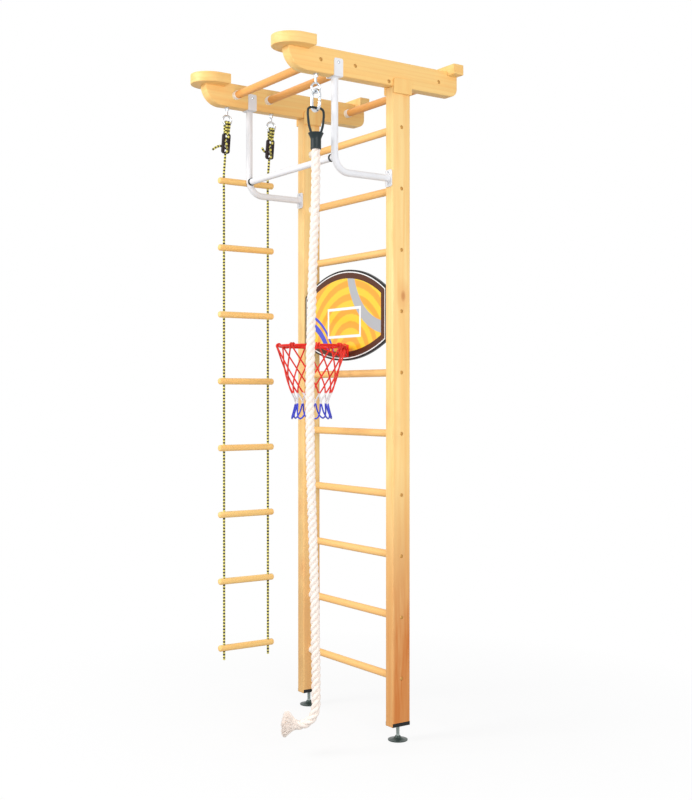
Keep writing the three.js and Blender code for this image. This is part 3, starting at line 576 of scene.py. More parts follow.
def wood(name, grain, pale, warm, post=False):
    """Lacquered wood with its grain along an axis; a post has knots, and painted shade makes it redder low down, more
    on the right post and away from its front face.
    """
    look = bpy.context.scene.wall_bars.wood
    material, tree = finish(name)
    along = object_place(tree, [0.06 if axis == grain else 1 for axis in range(3)], (0.21, 0.13, 0.17))
    broad = between(tree, noise(tree, along, 24, 3, 0.8), 0.36, 0.66)
    fibre = noise(tree, along, 620, 3)
    rings = node(
        tree, "TexWave",
        {"Vector": along, "Scale": 20, "Distortion": 2.6, "Detail": 3, "Detail Scale": 1.4,
         "Phase Offset": maths(tree, "MULTIPLY", broad, 3.0)},
        wave_type="RINGS", rings_direction="XYZ"[grain],
    ).outputs["Fac"]
    tint = mixed(tree, between(tree, broad, 0.1, 1.0), pale, warm)
    tint = mixed(tree, between(tree, rings, 0.6, 1.0, 0.0, 0.16), tint, look.line)
    tint = mixed(tree, between(tree, fibre, 0.55, 0.75, 0.0, 0.12), tint, look.line)
    if post:
        # Painted shade: redder below about 1 m, strongest on the right post and weakest on the front face that the key
        # lamp lights
        parts = node(tree, "SeparateXYZ", {"Vector": object_place(tree)}).outputs
        share = between(tree, noise(tree, along, 60, 3, 1.0), 0.3, 0.62, 0.7, 1.0)
        share = maths(tree, "MULTIPLY", share, between(tree, parts["Z"], 1.0, 0.38))
        share = maths(tree, "MULTIPLY", share, between(tree, parts["X"], -0.25, 0.25, 0.5, 1.0))
        share = maths(tree, "MULTIPLY", share, between(tree, parts["Y"], -0.048, -0.030, 0.4, 1.0))
        tint = mixed(tree, share, tint, look.foot)
        cells = object_place(tree, (1, 1, 0.5), (0.037, 0.021, 0.4))
        knot = node(tree, "TexVoronoi", {"Vector": cells, "Scale": 8.5}).outputs["Distance"]
        tint = mixed(tree, between(tree, knot, 0.30, 0.08, 0.0, 0.6), tint, look.halo)
        tint = mixed(tree, between(tree, knot, 0.10, 0.04, 0.0, 0.6), tint, look.knot)
    shaded(
        tree, Base_Color=tint, Roughness=between(tree, fibre, 0.3, 0.7, 0.42, 0.55),
        Specular_IOR_Level=0.3, Normal=bumped(tree, fibre, 0.08, 0.0004),
    )
    return material


def paint(name, tint, rough, grain=420, strength=0.06, metal=0.0):
    """A coat of paint, plating or plastic with a fine skin and a little unevenness."""
    material, tree = finish(name)
    place = object_place(tree)
    skin = noise(tree, place, grain, 3)
    cloud = noise(tree, place, 9, 3)
    worn = [channel * 0.86 for channel in tint]
    shaded(
        tree, Base_Color=mixed(tree, between(tree, cloud, 0.35, 0.75, 0.0, 0.5), tint, worn), Metallic=metal,
        Roughness=between(tree, cloud, 0.3, 0.7, rough * 0.8, rough * 1.2), Specular_IOR_Level=0.25,
        Normal=bumped(tree, skin, strength, 0.0005),
    )
    return material


def yarn(name, tint, shade, twist, around, depth):
    """Fibres wound along a strand, from its own UV map, with painted shade in the grooves between them to a depth."""
    material, tree = finish(name)
    places = node(tree, "UVMap", uv_map="along").outputs["UV"]
    slant = node(tree, "Mapping", {"Vector": places, "Scale": (around, 1 / twist, 1)}).outputs["Vector"]
    fibre = node(
        tree, "TexWave", {"Vector": slant, "Scale": 0.31416, "Distortion": 1.2, "Detail": 2, "Detail Scale": 2.0},
        wave_type="BANDS", bands_direction="DIAGONAL",
    ).outputs["Fac"]
    cloud = noise(tree, object_place(tree), 160, 3)
    patchy = between(tree, cloud, 0.3, 0.7, 0.4, 1.0)
    # Painted shade: the groove colour, patchy, darkens the yarn between the fibres
    share = maths(tree, "MULTIPLY", between(tree, fibre, 0.55, 0.0, 0.0, depth), patchy)
    shaded(
        tree, Base_Color=mixed(tree, share, tint, shade), Roughness=0.9,
        Normal=bumped(tree, fibre, depth, 0.0008), Sheen_Weight=0.15, Sheen_Roughness=0.6,
    )
    return material


def flecked(name, tint, dark, spacing):
    """Braided yarn with dark flecks along its strands, from its own UV map."""
    material, tree = finish(name)
    places = node(tree, "UVMap", uv_map="along").outputs["UV"]
    along = node(tree, "SeparateXYZ", {"Vector": places}).outputs["Y"]
    wave = maths(tree, "SINE", maths(tree, "MULTIPLY", along, math.tau / spacing))
    fibre = noise(tree, object_place(tree), 1400, 2)
    shaded(
        tree, Base_Color=mixed(tree, between(tree, wave, -0.15, 0.15), tint, dark), Roughness=0.85,
        Normal=bumped(tree, fibre, 0.3, 0.0004), Sheen_Weight=0.15,
    )
    return material


def banded(name, bands, rough):
    """Twine dyed in bands of height: a list of (height of the band's lower edge, colour), highest first."""
    material, tree = finish(name)
    height = node(tree, "SeparateXYZ", {"Vector": object_place(tree)}).outputs["Z"]
    ragged = maths(tree, "MULTIPLY", noise(tree, object_place(tree), 60, 2), 0.012)
    height = maths(tree, "ADD", height, ragged)
    tint = bands[0][1]
    for (edge, _), (_, lower) in zip(bands, bands[1:]):
        tint = mixed(tree, between(tree, height, edge + 0.007, edge + 0.003), tint, lower)
    fibre = noise(tree, object_place(tree), 900, 2)
    shaded(tree, Base_Color=tint, Roughness=rough, Normal=bumped(tree, fibre, 0.4, 0.0006), Sheen_Weight=0.2)
    return material


FINISHES = {}


def finish_named(name):
    """A material by its name, made when it is first asked for."""
    settings = bpy.context.scene.wall_bars
    timber, metal, rope = settings.wood, settings.metal, settings.rope
    makers = {
        "post_pine": lambda: wood("post_pine", 2, timber.crown, timber.blush, post=True),
        "beam_pine": lambda: wood("beam_pine", 1, timber.pale, timber.warm),
        "cheek_pine": lambda: wood("cheek_pine", 2, timber.pale, timber.warm),
        "rung_beech": lambda: wood("rung_beech", 0, timber.rung, timber.blush),
        "bar_beech": lambda: wood("bar_beech", 0, timber.bar, timber.line),
        "ladder_beech": lambda: wood("ladder_beech", 1, timber.pale, timber.warm),
        "white_coat": lambda: paint("white_coat", metal.white, 0.35),
        "white_plastic": lambda: paint("white_plastic", metal.bush, 0.3, 700, 0.03),
        "bright_plate": lambda: paint("bright_plate", metal.bright, 0.2, 260, 0.04, 1.0),
        "stem_plate": lambda: paint("stem_plate", metal.stem, 0.3, 500, 0.06, 0.7),
        "foot_coat": lambda: paint("foot_coat", metal.foot, 0.32, 500, 0.1, 0.4),
        "black_steel": lambda: paint("black_steel", metal.black, 0.4, 500, 0.1),
        "screw_brown": lambda: paint("screw_brown", metal.screw, 0.42, 600, 0.08, 0.3),
        "red_coat": lambda: paint("red_coat", metal.red, 0.28, 380, 0.05),
        "black_coat": lambda: paint("black_coat", rope.coat, 0.42, 300, 0.12),
        "plate_black": lambda: paint("plate_black", rope.plate, 0.42, 300, 0.1),
        "cream_yarn": lambda: yarn("cream_yarn", rope.cream, rope.shade, 0.011, 5, 0.3),
        "flecked_yarn": lambda: flecked("flecked_yarn", rope.yellow, rope.dark, rope.fleck),
    }
    if name not in FINISHES:
        FINISHES[name] = makers[name]()
    return FINISHES[name]


def placed(piece, body, slot, finishes, *nodes, angle=40):
    """Give a piece its finishes, smooth shading, its body and the nodes that it stands for, which it hides; its slot is
    not used.
    """
    for name in finishes.split():
        piece.data.materials.append(finish_named(name))
    choose(piece)
    bpy.ops.object.shade_smooth_by_angle(angle=math.radians(angle))
    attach(piece, body)
    if nodes:
        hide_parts(*nodes)
    return piece


# Pieces


class WALLBARS_OT_stage(Operator):
    """Add the camera, the floor, the lamps and the pale surroundings"""

    bl_idname = "wall_bars.stage"
    bl_label = "Stage"

    def camera(self):
        idle()
        turn = (math.radians(89.75), 0, math.radians(55.55))
        bpy.ops.object.camera_add(location=(3.72229, -2.57647, 1.25704), rotation=turn)
        camera = bpy.context.object
        camera.name = "camera"
        camera.data.lens = 52.93
        bpy.context.scene.camera = camera

    def floor(self):
        idle()
        bpy.ops.mesh.primitive_plane_add(size=60)
        floor = named("floor")
        material, tree = finish("pale_floor")
        rays = node(tree, "LightPath").outputs
        seen = maths(tree, "MINIMUM", maths(tree, "ADD", rays["Is Camera Ray"], rays["Is Glossy Ray"]), 1.0)
        shade = mixed(tree, rays["Is Camera Ray"], (0.42, 0.42, 0.42), (0.9, 0.9, 0.9))
        matt = node(tree, "BsdfDiffuse", {"Color": shade}).outputs["BSDF"]
        glow = node(tree, "Emission", {"Color": (1, 1, 1, 1), "Strength": 1.0}).outputs["Emission"]
        near = node(tree, "VectorMath", {0: object_place(tree)}, operation="LENGTH").outputs["Value"]
        share = maths(tree, "MULTIPLY", seen, between(tree, near, 0.6, 1.8, 0.84, 1.0))
        mix = node(tree, "MixShader", {0: share, 1: matt, 2: glow}).outputs["Shader"]
        node(tree, "OutputMaterial", {"Surface": mix})
        floor.data.materials.append(material)

    def lamp(self, name, place, target, size, power):
        idle()
        bpy.ops.object.light_add(type="AREA", location=place)
        lamp = bpy.context.object
        lamp.name = name
        lamp.data.shape = "DISK"
        lamp.data.size = size
        lamp.data.energy = power
        lamp.rotation_euler = (Vector(target) - Vector(place)).to_track_quat("-Z", "Y").to_euler()

    def surroundings(self):
        world = bpy.data.worlds.new("pale_room")
        world.use_nodes = True
        tree = world.node_tree
        tree.nodes.clear()
        rays = node(tree, "LightPath").outputs
        seen = maths(tree, "ADD", rays["Is Camera Ray"], rays["Is Glossy Ray"])
        seen = maths(tree, "MINIMUM", maths(tree, "ADD", seen, rays["Is Transmission Ray"]), 1.0)
        light = node(tree, "Background", {"Color": (0.97, 0.98, 1, 1), "Strength": 0.62}).outputs["Background"]
        white = node(tree, "Background", {"Color": (1, 1, 1, 1), "Strength": 1.0}).outputs["Background"]
        mix = node(tree, "MixShader", {0: seen, 1: light, 2: white}).outputs["Shader"]
        node(tree, "OutputWorld", {"Surface": mix})
        bpy.context.scene.world = world
        bpy.context.scene.view_settings.view_transform = "Standard"

    def execute(self, context):
        self.camera()
        self.floor()
        self.lamp("key", (-0.9, -4.6, 3.2), (0, 0, 1.3), 2.4, 150)
        self.lamp("fill", (4.6, -1.4, 1.6), (0, 0, 1.4), 3.0, 115)
        self.surroundings()
        return {"FINISHED"}


class WALLBARS_OT_climbing_rope(Operator):
    """Add the three-strand climbing rope and its frayed end"""

    bl_idname = "wall_bars.climbing_rope"
    bl_label = "Climbing rope"

    def frayed(self, end, heading):
        """Loose yarns of about one length that fan out from the end of the rope into a round tuft."""
        draw = random.Random(7)
        across = heading.cross(Z).normalized()
        up = across.cross(heading)
        lines = []
        for _ in range(700):
            turn = draw.uniform(0, math.tau)
            share = math.sqrt(draw.random())
            out = math.cos(turn) * across + math.sin(turn) * up
            spread = math.radians(46) * share * draw.uniform(0.85, 1.1)
            step = draw.uniform(0.052, 0.060) / 8
            line = [end - 0.012 * heading + 0.0135 * share * out]
            for number in range(8):
                lean = spread * min(1, (number + 1) / 5)
                curl = 0.0012 * Vector([draw.uniform(-1, 1) for _ in range(3)])
                line.append(line[-1] + step * (math.cos(lean) * heading + math.sin(lean) * out) + curl)
            lines.append(line)
        return tubes("climbing_rope_end", lines, 0.0020, 5, taper=lambda far: 1 - 0.4 * far)

    def execute(self, context):
        look = context.scene.wall_bars.rope
        eye = middle("rope_eye_bolt")
        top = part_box("climbing_rope")[1].z
        route = [(eye.x, eye.y, top), *[(eye.x + x, eye.y + y, z) for x, y, z in ROPE_ROUTE]]
        line = smoothed(route, look.lay / 16)
        radius = ROPE_RADIUS
        strand = 0.5 * radius
        strands = [wound(line, radius - strand, look.lay, turn / 3) for turn in range(3)]
        rope = tubes("climbing_rope_strands", strands, strand, 12)
        placed(rope, "hanging_rope", "cream_rope", "cream_yarn", "climbing_rope", angle=180)
        end = placed(self.frayed(line[-1], (line[-1] - line[-4]).normalized()), "hanging_rope", "cream_rope",
                     "cream_yarn", angle=180)
        return {"FINISHED"}


def braided(name, lines, radius, lay):
    """Cords of eight strands that cross over and under each other."""
    strand = 0.32 * radius
    strands = []
    for line in lines:
        for hand in (1, -1):
            for turn in range(4):
                strands.append(wound(line, radius - 1.35 * strand, lay, turn / 4, hand, 0.35 * strand, 4))
    return tubes(name, strands, strand, 5)


def ladder_slope(end):
    """Where a ladder cord hangs on its eye, and where its slope ends above the top rung."""
    low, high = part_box(f"ladder_eye_{end}")
    eye, rung = (low + high) / 2, middle(LADDER_RUNGS[-1])
    radius = rung.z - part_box(LADDER_RUNGS[-1])[0].z
    return Vector((eye.x, eye.y, low.z + EYE_STOCK / 2)), Vector((rung.x, eye.y, rung.z + 2 * radius))


class WALLBARS_OT_ladder_ropes(Operator):
    """Add the two cords of the rope ladder"""

    bl_idname = "wall_bars.ladder_ropes"
    bl_label = "Ladder cords"

    def execute(self, context):
        look = context.scene.wall_bars.rope
        for end in LADDER_ENDS:
            bar, bend = ladder_slope(end)
            heading = (bend - bar).normalized()
            start = bar + (SLING_LENGTH + ADJUSTER_HEIGHT + GAP) * heading
            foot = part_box(f"ladder_rope_{end}")[0].z
            heights = [bend.z + share / 20 * (foot - bend.z) for share in range(1, 21)]
            route = [start, (start + bend) / 2, bend, *[(bend.x, bend.y, z) for z in heights]]
            line = smoothed(route, look.cord_lay / 18)
            cord = braided(f"ladder_cord_{end}", [line], LADDER_CORD_RADIUS, look.cord_lay)
            placed(cord, "hanging_ladder", "yellow_rope", "flecked_yarn", f"ladder_rope_{end}", angle=180)
        return {"FINISHED"}


def pockets(name, places, heading):
    """Cutters for the round pockets of screw heads."""
    cutter = dowel(name, (0, 0, -SCREW_POCKET), (0, 0, SCREW_POCKET), SCREW_RADIUS + 0.0004, 0.0001)
    return copies(name, cutter, [stood(place, heading) for place in places])


class WALLBARS_OT_posts(Operator):
    """Add the two posts with their screw pockets, shoe recesses and foot bores"""

    bl_idname = "wall_bars.posts"
    bl_label = "Posts"

    def execute(self, context):
        look = context.scene.wall_bars.wood
        for side, sign in SIDES.items():
            low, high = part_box(f"{side}_post")
            post = block(f"{side}_post_timber", low, high)
            bevel(post, look.post_edge, 4, runs(Z))
            bevel(post, look.board_edge, 3, rims(Z))
            shoe_low, shoe_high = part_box(f"{side}_foot_shoe")
            inside = Vector((SHOE_WALL, -0.1, SHOE_WALL))
            recess = block("recess", shoe_low - GAP * (X + Y + 30 * Z), shoe_high + GAP * (X + Y + Z))
            tongue = block("tongue", shoe_low + inside, shoe_high - inside.reflect(Z) + 0.02 * Z)
            bore(recess, tongue)
            bore(post, recess)
            screw_low, screw_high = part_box(f"{side}_foot_screw")
            axis = (screw_low + screw_high) / 2
            hole = dowel("hole", (axis.x, axis.y, low.z - 0.01), (axis.x, axis.y, screw_high.z + 0.031),
                         (screw_high.x - screw_low.x) / 2 + 0.001, 0.001)
            bore(post, hole)
            outer = high.x if sign > 0 else low.x
            bore(post, pockets("pockets", [(outer, 0, middle(rung).z) for rung in RUNGS], X))
            placed(post, "frame", "post_wood", "post_pine", f"{side}_post", angle=30)
        return {"FINISHED"}


class WALLBARS_OT_beams(Operator):
    """Add the beams, the cheek plates over their joints and the pads on their ends"""

    bl_idname = "wall_bars.beams"
    bl_label = "Beams"

    def beam(self, side, sign, edge):
        low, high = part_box(f"{side}_beam")
        beam = block(f"{side}_beam_timber", low, high)
        across = runs(X)
        bevel(beam, NOSE_RADIUS, 14, lambda part: across(part) and part.verts[0].co.yz == low.yz)
        heel = Vector((high.y, low.z))
        bevel(beam, HEEL_RADIUS, 8, lambda part: across(part) and (part.verts[0].co.yz - heel).length < 1e-5)
        bevel(beam, edge, 3, rims(X))
        bevel(beam, edge / 2, 2, lambda part: across(part) and part.verts[0].co.z > high.z - 1e-5)
        front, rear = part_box(f"{side}_front_pad"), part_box(f"{side}_rear_pad")
        floor = front[0].z - GAP
        bore(beam, block("seat", (low.x - 1, low.y - 1, floor), (high.x + 1, front[1].y + GAP, high.z + 1)))
        bore(beam, block("seat", (low.x - 1, rear[0].y - GAP, floor), (high.x + 1, high.y + 1, high.z + 1)))
        outer = high.x if sign > 0 else low.x
        places = [*[middle(bar).yz for bar in BARS], (BEAM_SCREW[0], low.z + BEAM_SCREW[1])]
        bore(beam, pockets("pockets", [(outer, *place) for place in places], X))
        placed(beam, "frame", "post_wood", "beam_pine", f"{side}_beam", angle=30)

    def cheek(self, node):
        low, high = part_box(node)
        cheek = block(f"{node}_timber", low, high)
        bevel(cheek, CHEEK_CORNER, 6, lambda part: runs(X)(part) and part.verts[0].co.z > high.z - 1e-5)
        bevel(cheek, 0.0018, 3, rims(X))
        placed(cheek, "frame", "post_wood", "cheek_pine", node, angle=30)

    def front_pad(self, node, edge):
        low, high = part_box(node)
        half = (high.x - low.x) / 2
        stretch = (high.y - low.y - PAD_STRAIGHT) / half
        pad = block(f"{node}_timber", (low.x, high.y - (high.y - low.y) / stretch, low.z), high)
        bevel(pad, 0.998 * half, 20, lambda part: runs(Z)(part) and part.verts[0].co.y < high.y - 1e-5)
        with shaping(pad, "VERT"):
            bpy.ops.transform.resize(value=(1, stretch, 1), center_override=(0, high.y, 0))
        bevel(pad, edge, 3, rims(Z))
        placed(pad, "frame", "post_wood", "beam_pine", node, angle=30)

    def rear_pad(self, node, edge):
        low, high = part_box(node)
        pad = block(f"{node}_timber", low, high)
        bevel(pad, PAD_CORNER, 6, lambda part: runs(Z)(part) and part.verts[0].co.y > high.y - 1e-5)
        bevel(pad, edge, 3, rims(Z))
        placed(pad, "frame", "post_wood", "beam_pine", node, angle=30)

    def execute(self, context):
        edge = context.scene.wall_bars.wood.board_edge
        for side, sign in SIDES.items():
            self.beam(side, sign, edge)
            self.cheek(f"{side}_outer_cheek")
            self.cheek(f"{side}_inner_cheek")
            self.front_pad(f"{side}_front_pad", edge)
            self.rear_pad(f"{side}_rear_pad", edge)
        return {"FINISHED"}


def screw_head(name, radius, height):
    """A low round head with a cross slot, standing on the origin."""
    dome = (radius * radius + height * height) / (2 * height)
    spread = math.degrees(math.asin(radius / dome))
    outline = [(0, -radius / 2), (0.5 * radius, -radius / 2), *arc((0, height - dome), dome, 90 - spread, 90, 6)]
    head = turned(name, outline, (0, 0, 0), steps=28)
    slot = Vector((0.62 * radius, 0.13 * radius, 0.5 * height))
    for turn in (slot, slot.yxz):
        bore(head, block("slot", (-turn.x, -turn.y, height - turn.z), (turn.x, turn.y, 2 * height)))
    return head


class WALLBARS_OT_rungs(Operator):
    """Add the rungs and overhead bars, with the bush at each end and the screws behind it"""

    bl_idname = "wall_bars.rungs"
    bl_label = "Rungs"

    def bushes(self, name, nodes, face):
        """A round-edged collar against the wood at each end of each bar."""
        low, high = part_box(nodes[0])
        inner = (high.z - low.z) / 2 + 0.0001
        outer = inner + BUSH_RIM
        outline = [(inner, 0), (outer, 0), *arc((outer - BUSH_RIM, BUSH_LENGTH - BUSH_RIM), BUSH_RIM, 0, 88, 6)]
        bush = turned(name, [*outline, (inner, BUSH_LENGTH)], (0, 0, 0))
        places = []
        for bar in nodes:
            spot = middle(bar)
            places += [stood((sign * face, spot.y, spot.z), -sign * X) for sign in SIDES.values()]
        placed(copies(name, bush, places), "frame", "white_plastic", "white_plastic", angle=50)

    def screws(self, name, places):
        made = [stood((sign * (x - 0.0012), y, z), sign * X) for sign in SIDES.values() for x, y, z in places]
        screw = screw_head(name, SCREW_RADIUS, 0.0022)
        placed(copies(name, screw, made), "frame", "screw_brass", "screw_brown", angle=30)

    def execute(self, context):
        for bar in RUNGS + BARS:
            low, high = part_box(bar)
            spot = (low + high) / 2
            wood = dowel(f"{bar}_dowel", (low.x, spot.y, spot.z), (high.x, spot.y, spot.z),
                         (high.z - low.z) / 2, 0.002)
            placed(wood, "frame", "rung_wood", "rung_beech" if bar in RUNGS else "bar_beech", bar)
        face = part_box("right_post")[0].x
        self.bushes("rung_bushes", RUNGS, face)
        self.bushes("bar_bushes", BARS, face)
        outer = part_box("right_post")[1].x
        beam_screw = (BEAM_SCREW[0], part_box("right_beam")[0].z + BEAM_SCREW[1])
        self.screws("outer_screws", [(outer, *place) for place in [*[middle(bar).yz for bar in RUNGS + BARS], beam_screw]])
        return {"FINISHED"}


def channel(name, low, high, wall, corner):
    """A sheet-metal channel along Y, open at the top."""
    outer = block(name, low, high)
    bevel(outer, corner, 3, lambda part: runs(Y)(part) and part.verts[0].co.z < low.z + 1e-5)
    inside = block("inside", low + Vector((wall, -1, wall)), high + Vector((-wall, 1, 1)))
    bevel(inside, corner - 0.6 * wall, 3, lambda part: runs(Y)(part) and part.verts[0].co.z < high.z)
    return bore(outer, inside)


class WALLBARS_OT_pull_up(Operator):
    """Add the pull-up brackets and bar, with their bolts and gaskets"""

    bl_idname = "wall_bars.pull_up"
    bl_label = "Pull-up bar"

    def tube(self, side, radius):
        """The bent tube of a bracket, from its saddle to its flange."""
        low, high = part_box(f"{side}_pull_up_bracket")
        x, y = middle(f"{side}_post").x, middle("pull_up_bar").y
        top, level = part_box(f"{side}_beam")[0].z - GAP - SADDLE_WALL + 0.001, low.z + FLANGE_HEIGHT / 2
        bend = [Vector((x, y + BEND_RADIUS + across, level + BEND_RADIUS + up))
                for across, up in arc((0, 0), BEND_RADIUS, 180, 270, 18)]
        route = [Vector((x, y, top)), Vector((x, y, top - 0.1)), *bend, Vector((x, high.y - 0.002, level))]
        return tubes("tube", [route], radius, 28)

    def bracket(self, side, radius):
        node = f"{side}_pull_up_bracket"
        low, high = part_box(node)
        x, y = middle(f"{side}_post").x, middle("pull_up_bar").y
        level = low.z + FLANGE_HEIGHT / 2
        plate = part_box(f"{side}_beam")[0].z - GAP - SADDLE_WALL
        saddle_half = Vector(((high.x - low.x) / 2, SADDLE_LENGTH / 2, 0))
        foot = Vector((x, y, plate))
        saddle = channel(f"{node}_steel", foot - saddle_half, foot + saddle_half + (high.z - plate) * Z,
                         SADDLE_WALL, 0.004)
        bevel(saddle, 0.006, 4, lambda part: runs(X)(part) and part.verts[0].co.z > high.z - 1e-5)
        flange = block("flange", (x - FLANGE_WIDTH / 2, high.y - FLANGE_THICKNESS, low.z),
                       (x + FLANGE_WIDTH / 2, high.y, low.z + FLANGE_HEIGHT))
        bevel(flange, FLANGE_CORNER, 6, runs(Y))
        bevel(flange, 0.0008, 2, rims(Y))
        bead_top = ring("bead", foot, Z, radius + 0.0004, 0.004)
        bead_end = ring("bead", (x, high.y - FLANGE_THICKNESS, level), Y, radius + 0.0004, 0.004)
        weld(saddle, self.tube(side, radius), flange, bead_top, bead_end)
        placed(saddle, "frame", "white_paint", "white_coat", node, angle=35)
        bolts = [stood((x + turn * saddle_half.x, y, high.z - 0.014), turn * X) for turn in (-1, 1)]
        screws = [stood((x, high.y - FLANGE_THICKNESS, level + turn * 0.0225), -Y) for turn in (-1, 1)]
        return bolts, screws

    def execute(self, context):
        low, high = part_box("pull_up_bar")
        spot, radius = (low + high) / 2, (high.z - low.z) / 2
        bar = dowel("pull_up_bar_tube", (low.x, spot.y, spot.z), (high.x, spot.y, spot.z), radius, 0.0005)
        bolts, screws = [], []
        for side in SIDES:
            new_bolts, new_screws = self.bracket(side, radius + 0.0005)
            bolts += new_bolts
            screws += new_screws
            bore(bar, self.tube(side, radius + 0.0005 + GAP))
        placed(bar, "frame", "white_paint", "white_coat", "pull_up_bar")
        heads = copies("saddle_bolts", screw_head("bolt", 0.0062, 0.0035), bolts)
        placed(heads, "frame", "bright_steel", "bright_plate", angle=30)
        heads = copies("flange_screws", screw_head("screw", 0.0045, 0.002), screws)
        placed(heads, "frame", "bright_steel", "bright_plate", angle=30)
        rim = radius + 0.0022
        outline = [(radius, 0), (rim, 0), (rim, 0.008), (rim - 0.0012, 0.0095), (radius, 0.0095)]
        gasket = turned("gasket", outline, (0, 0, 0))
        face = middle("right_post").x - radius - 0.0015
        places = [stood((sign * face, spot.y, spot.z), -sign * X) for sign in SIDES.values()]
        placed(copies("bar_gaskets", gasket, places), "frame", "black_coat", "black_coat")
        return {"FINISHED"}


class WALLBARS_OT_feet(Operator):
    """Add the shoes, the threaded screws and the flared bases of the feet"""

    bl_idname = "wall_bars.feet"
    bl_label = "Feet"

    def shoe(self, side, hole):
        low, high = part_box(f"{side}_foot_shoe")
        shoe = channel(f"{side}_foot_shoe_steel", low, high, SHOE_WALL, 0.0022)
        spot = (low + high) / 2
        bore(shoe, dowel("hole", (spot.x, spot.y, low.z - 0.01), (spot.x, spot.y, high.z), hole, 0.0005))
        placed(shoe, "frame", "black_steel", "black_steel", f"{side}_foot_shoe", angle=30)

    def screw(self, side):
        low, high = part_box(f"{side}_foot_screw")
        spot, radius = (low + high) / 2, (high.x - low.x) / 2
        start, end, pitch = 0.016, high.z - low.z - 0.004, 0.0025
        outline = [(0, 0), (radius - 0.0005, 0), (radius, 0.0005), (radius, start)]
        for turn in range(int((end - start) / pitch)):
            height = start + turn * pitch
            outline += [(radius - 0.0012, height + 0.3 * pitch), (radius - 0.0012, height + 0.5 * pitch)]
            outline += [(radius, height + 0.8 * pitch), (radius, height + pitch)]
        outline += [(radius - 0.002, high.z - low.z), (0, high.z - low.z)]
        screw = turned(f"{side}_foot_screw_steel", outline, (spot.x, spot.y, low.z))
        placed(screw, f"{side}_foot", "foot_steel", "stem_plate", f"{side}_foot_screw", angle=30)
        return radius

    def base(self, side, bore_radius):
        low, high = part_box(f"{side}_foot_base")
        spot, rim, tall = (low + high) / 2, (high.x - low.x) / 2, high.z - low.z
        flare = [(rim - (rim - BASE_NECK) * math.sin(turn), BASE_RIM + (tall - BASE_RIM) * (1 - math.cos(turn)))
                 for turn in [math.radians(6 * step) for step in range(15)]]
        outline = [(0, 0), (rim - 0.001, 0), (rim, 0.001), *flare, (BASE_NECK, tall - 0.001), (BASE_NECK - 0.001, tall)]
        outline += [(bore_radius, tall), (bore_radius, tall - 0.010), (0, tall - 0.010)]
        base = turned(f"{side}_foot_base_steel", outline, (spot.x, spot.y, low.z), steps=64)
        placed(base, f"{side}_foot", "foot_steel", "foot_coat", f"{side}_foot_base", angle=35)

    def execute(self, context):
        for side in SIDES:
            radius = self.screw(side)
            self.shoe(side, radius + GAP)
            self.base(side, radius + GAP)
        return {"FINISHED"}


def ring(name, centre, heading, radius, stock, steps=64, sides=16):
    """A round ring about a heading."""
    idle()
    bpy.ops.mesh.primitive_torus_add(
        major_radius=radius, minor_radius=stock / 2, major_segments=steps, minor_segments=sides)
    return aimed(name, centre, heading)


def eye_bolt(node, beam):
    """An eye bent from rod, with its nut and washer under the beam."""
    low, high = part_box(node)
    x, y, _ = (low + high) / 2
    across, underside = high.y - low.y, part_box(beam)[0].z - GAP
    eye = ring(f"{node}_rod", (x, y, low.z + across / 2), X, (across - EYE_STOCK) / 2, EYE_STOCK)
    shank = dowel("shank", (x, y, low.z + across - EYE_STOCK), (x, y, high.z), EYE_STOCK / 2, 0.0008)
    half, tall = EYE_NUT_RADIUS, EYE_NUT_HEIGHT
    nut = turned("nut", [(0, 0), (0.8 * half, 0), (half, 0.2 * tall), (half, 0.75 * tall), (0, 0.75 * tall)],
                 (x, y, underside - tall), steps=6)
    washer = turned("washer", [(0, 0), (1.25 * half, 0), (1.3 * half, 0.0005), (1.3 * half, 0.002), (0, 0.002)],
                    (x, y, underside - 0.002))
    weld(eye, shank, nut, washer)
    placed(eye, "frame", "bright_steel", "bright_plate", node, angle=35)


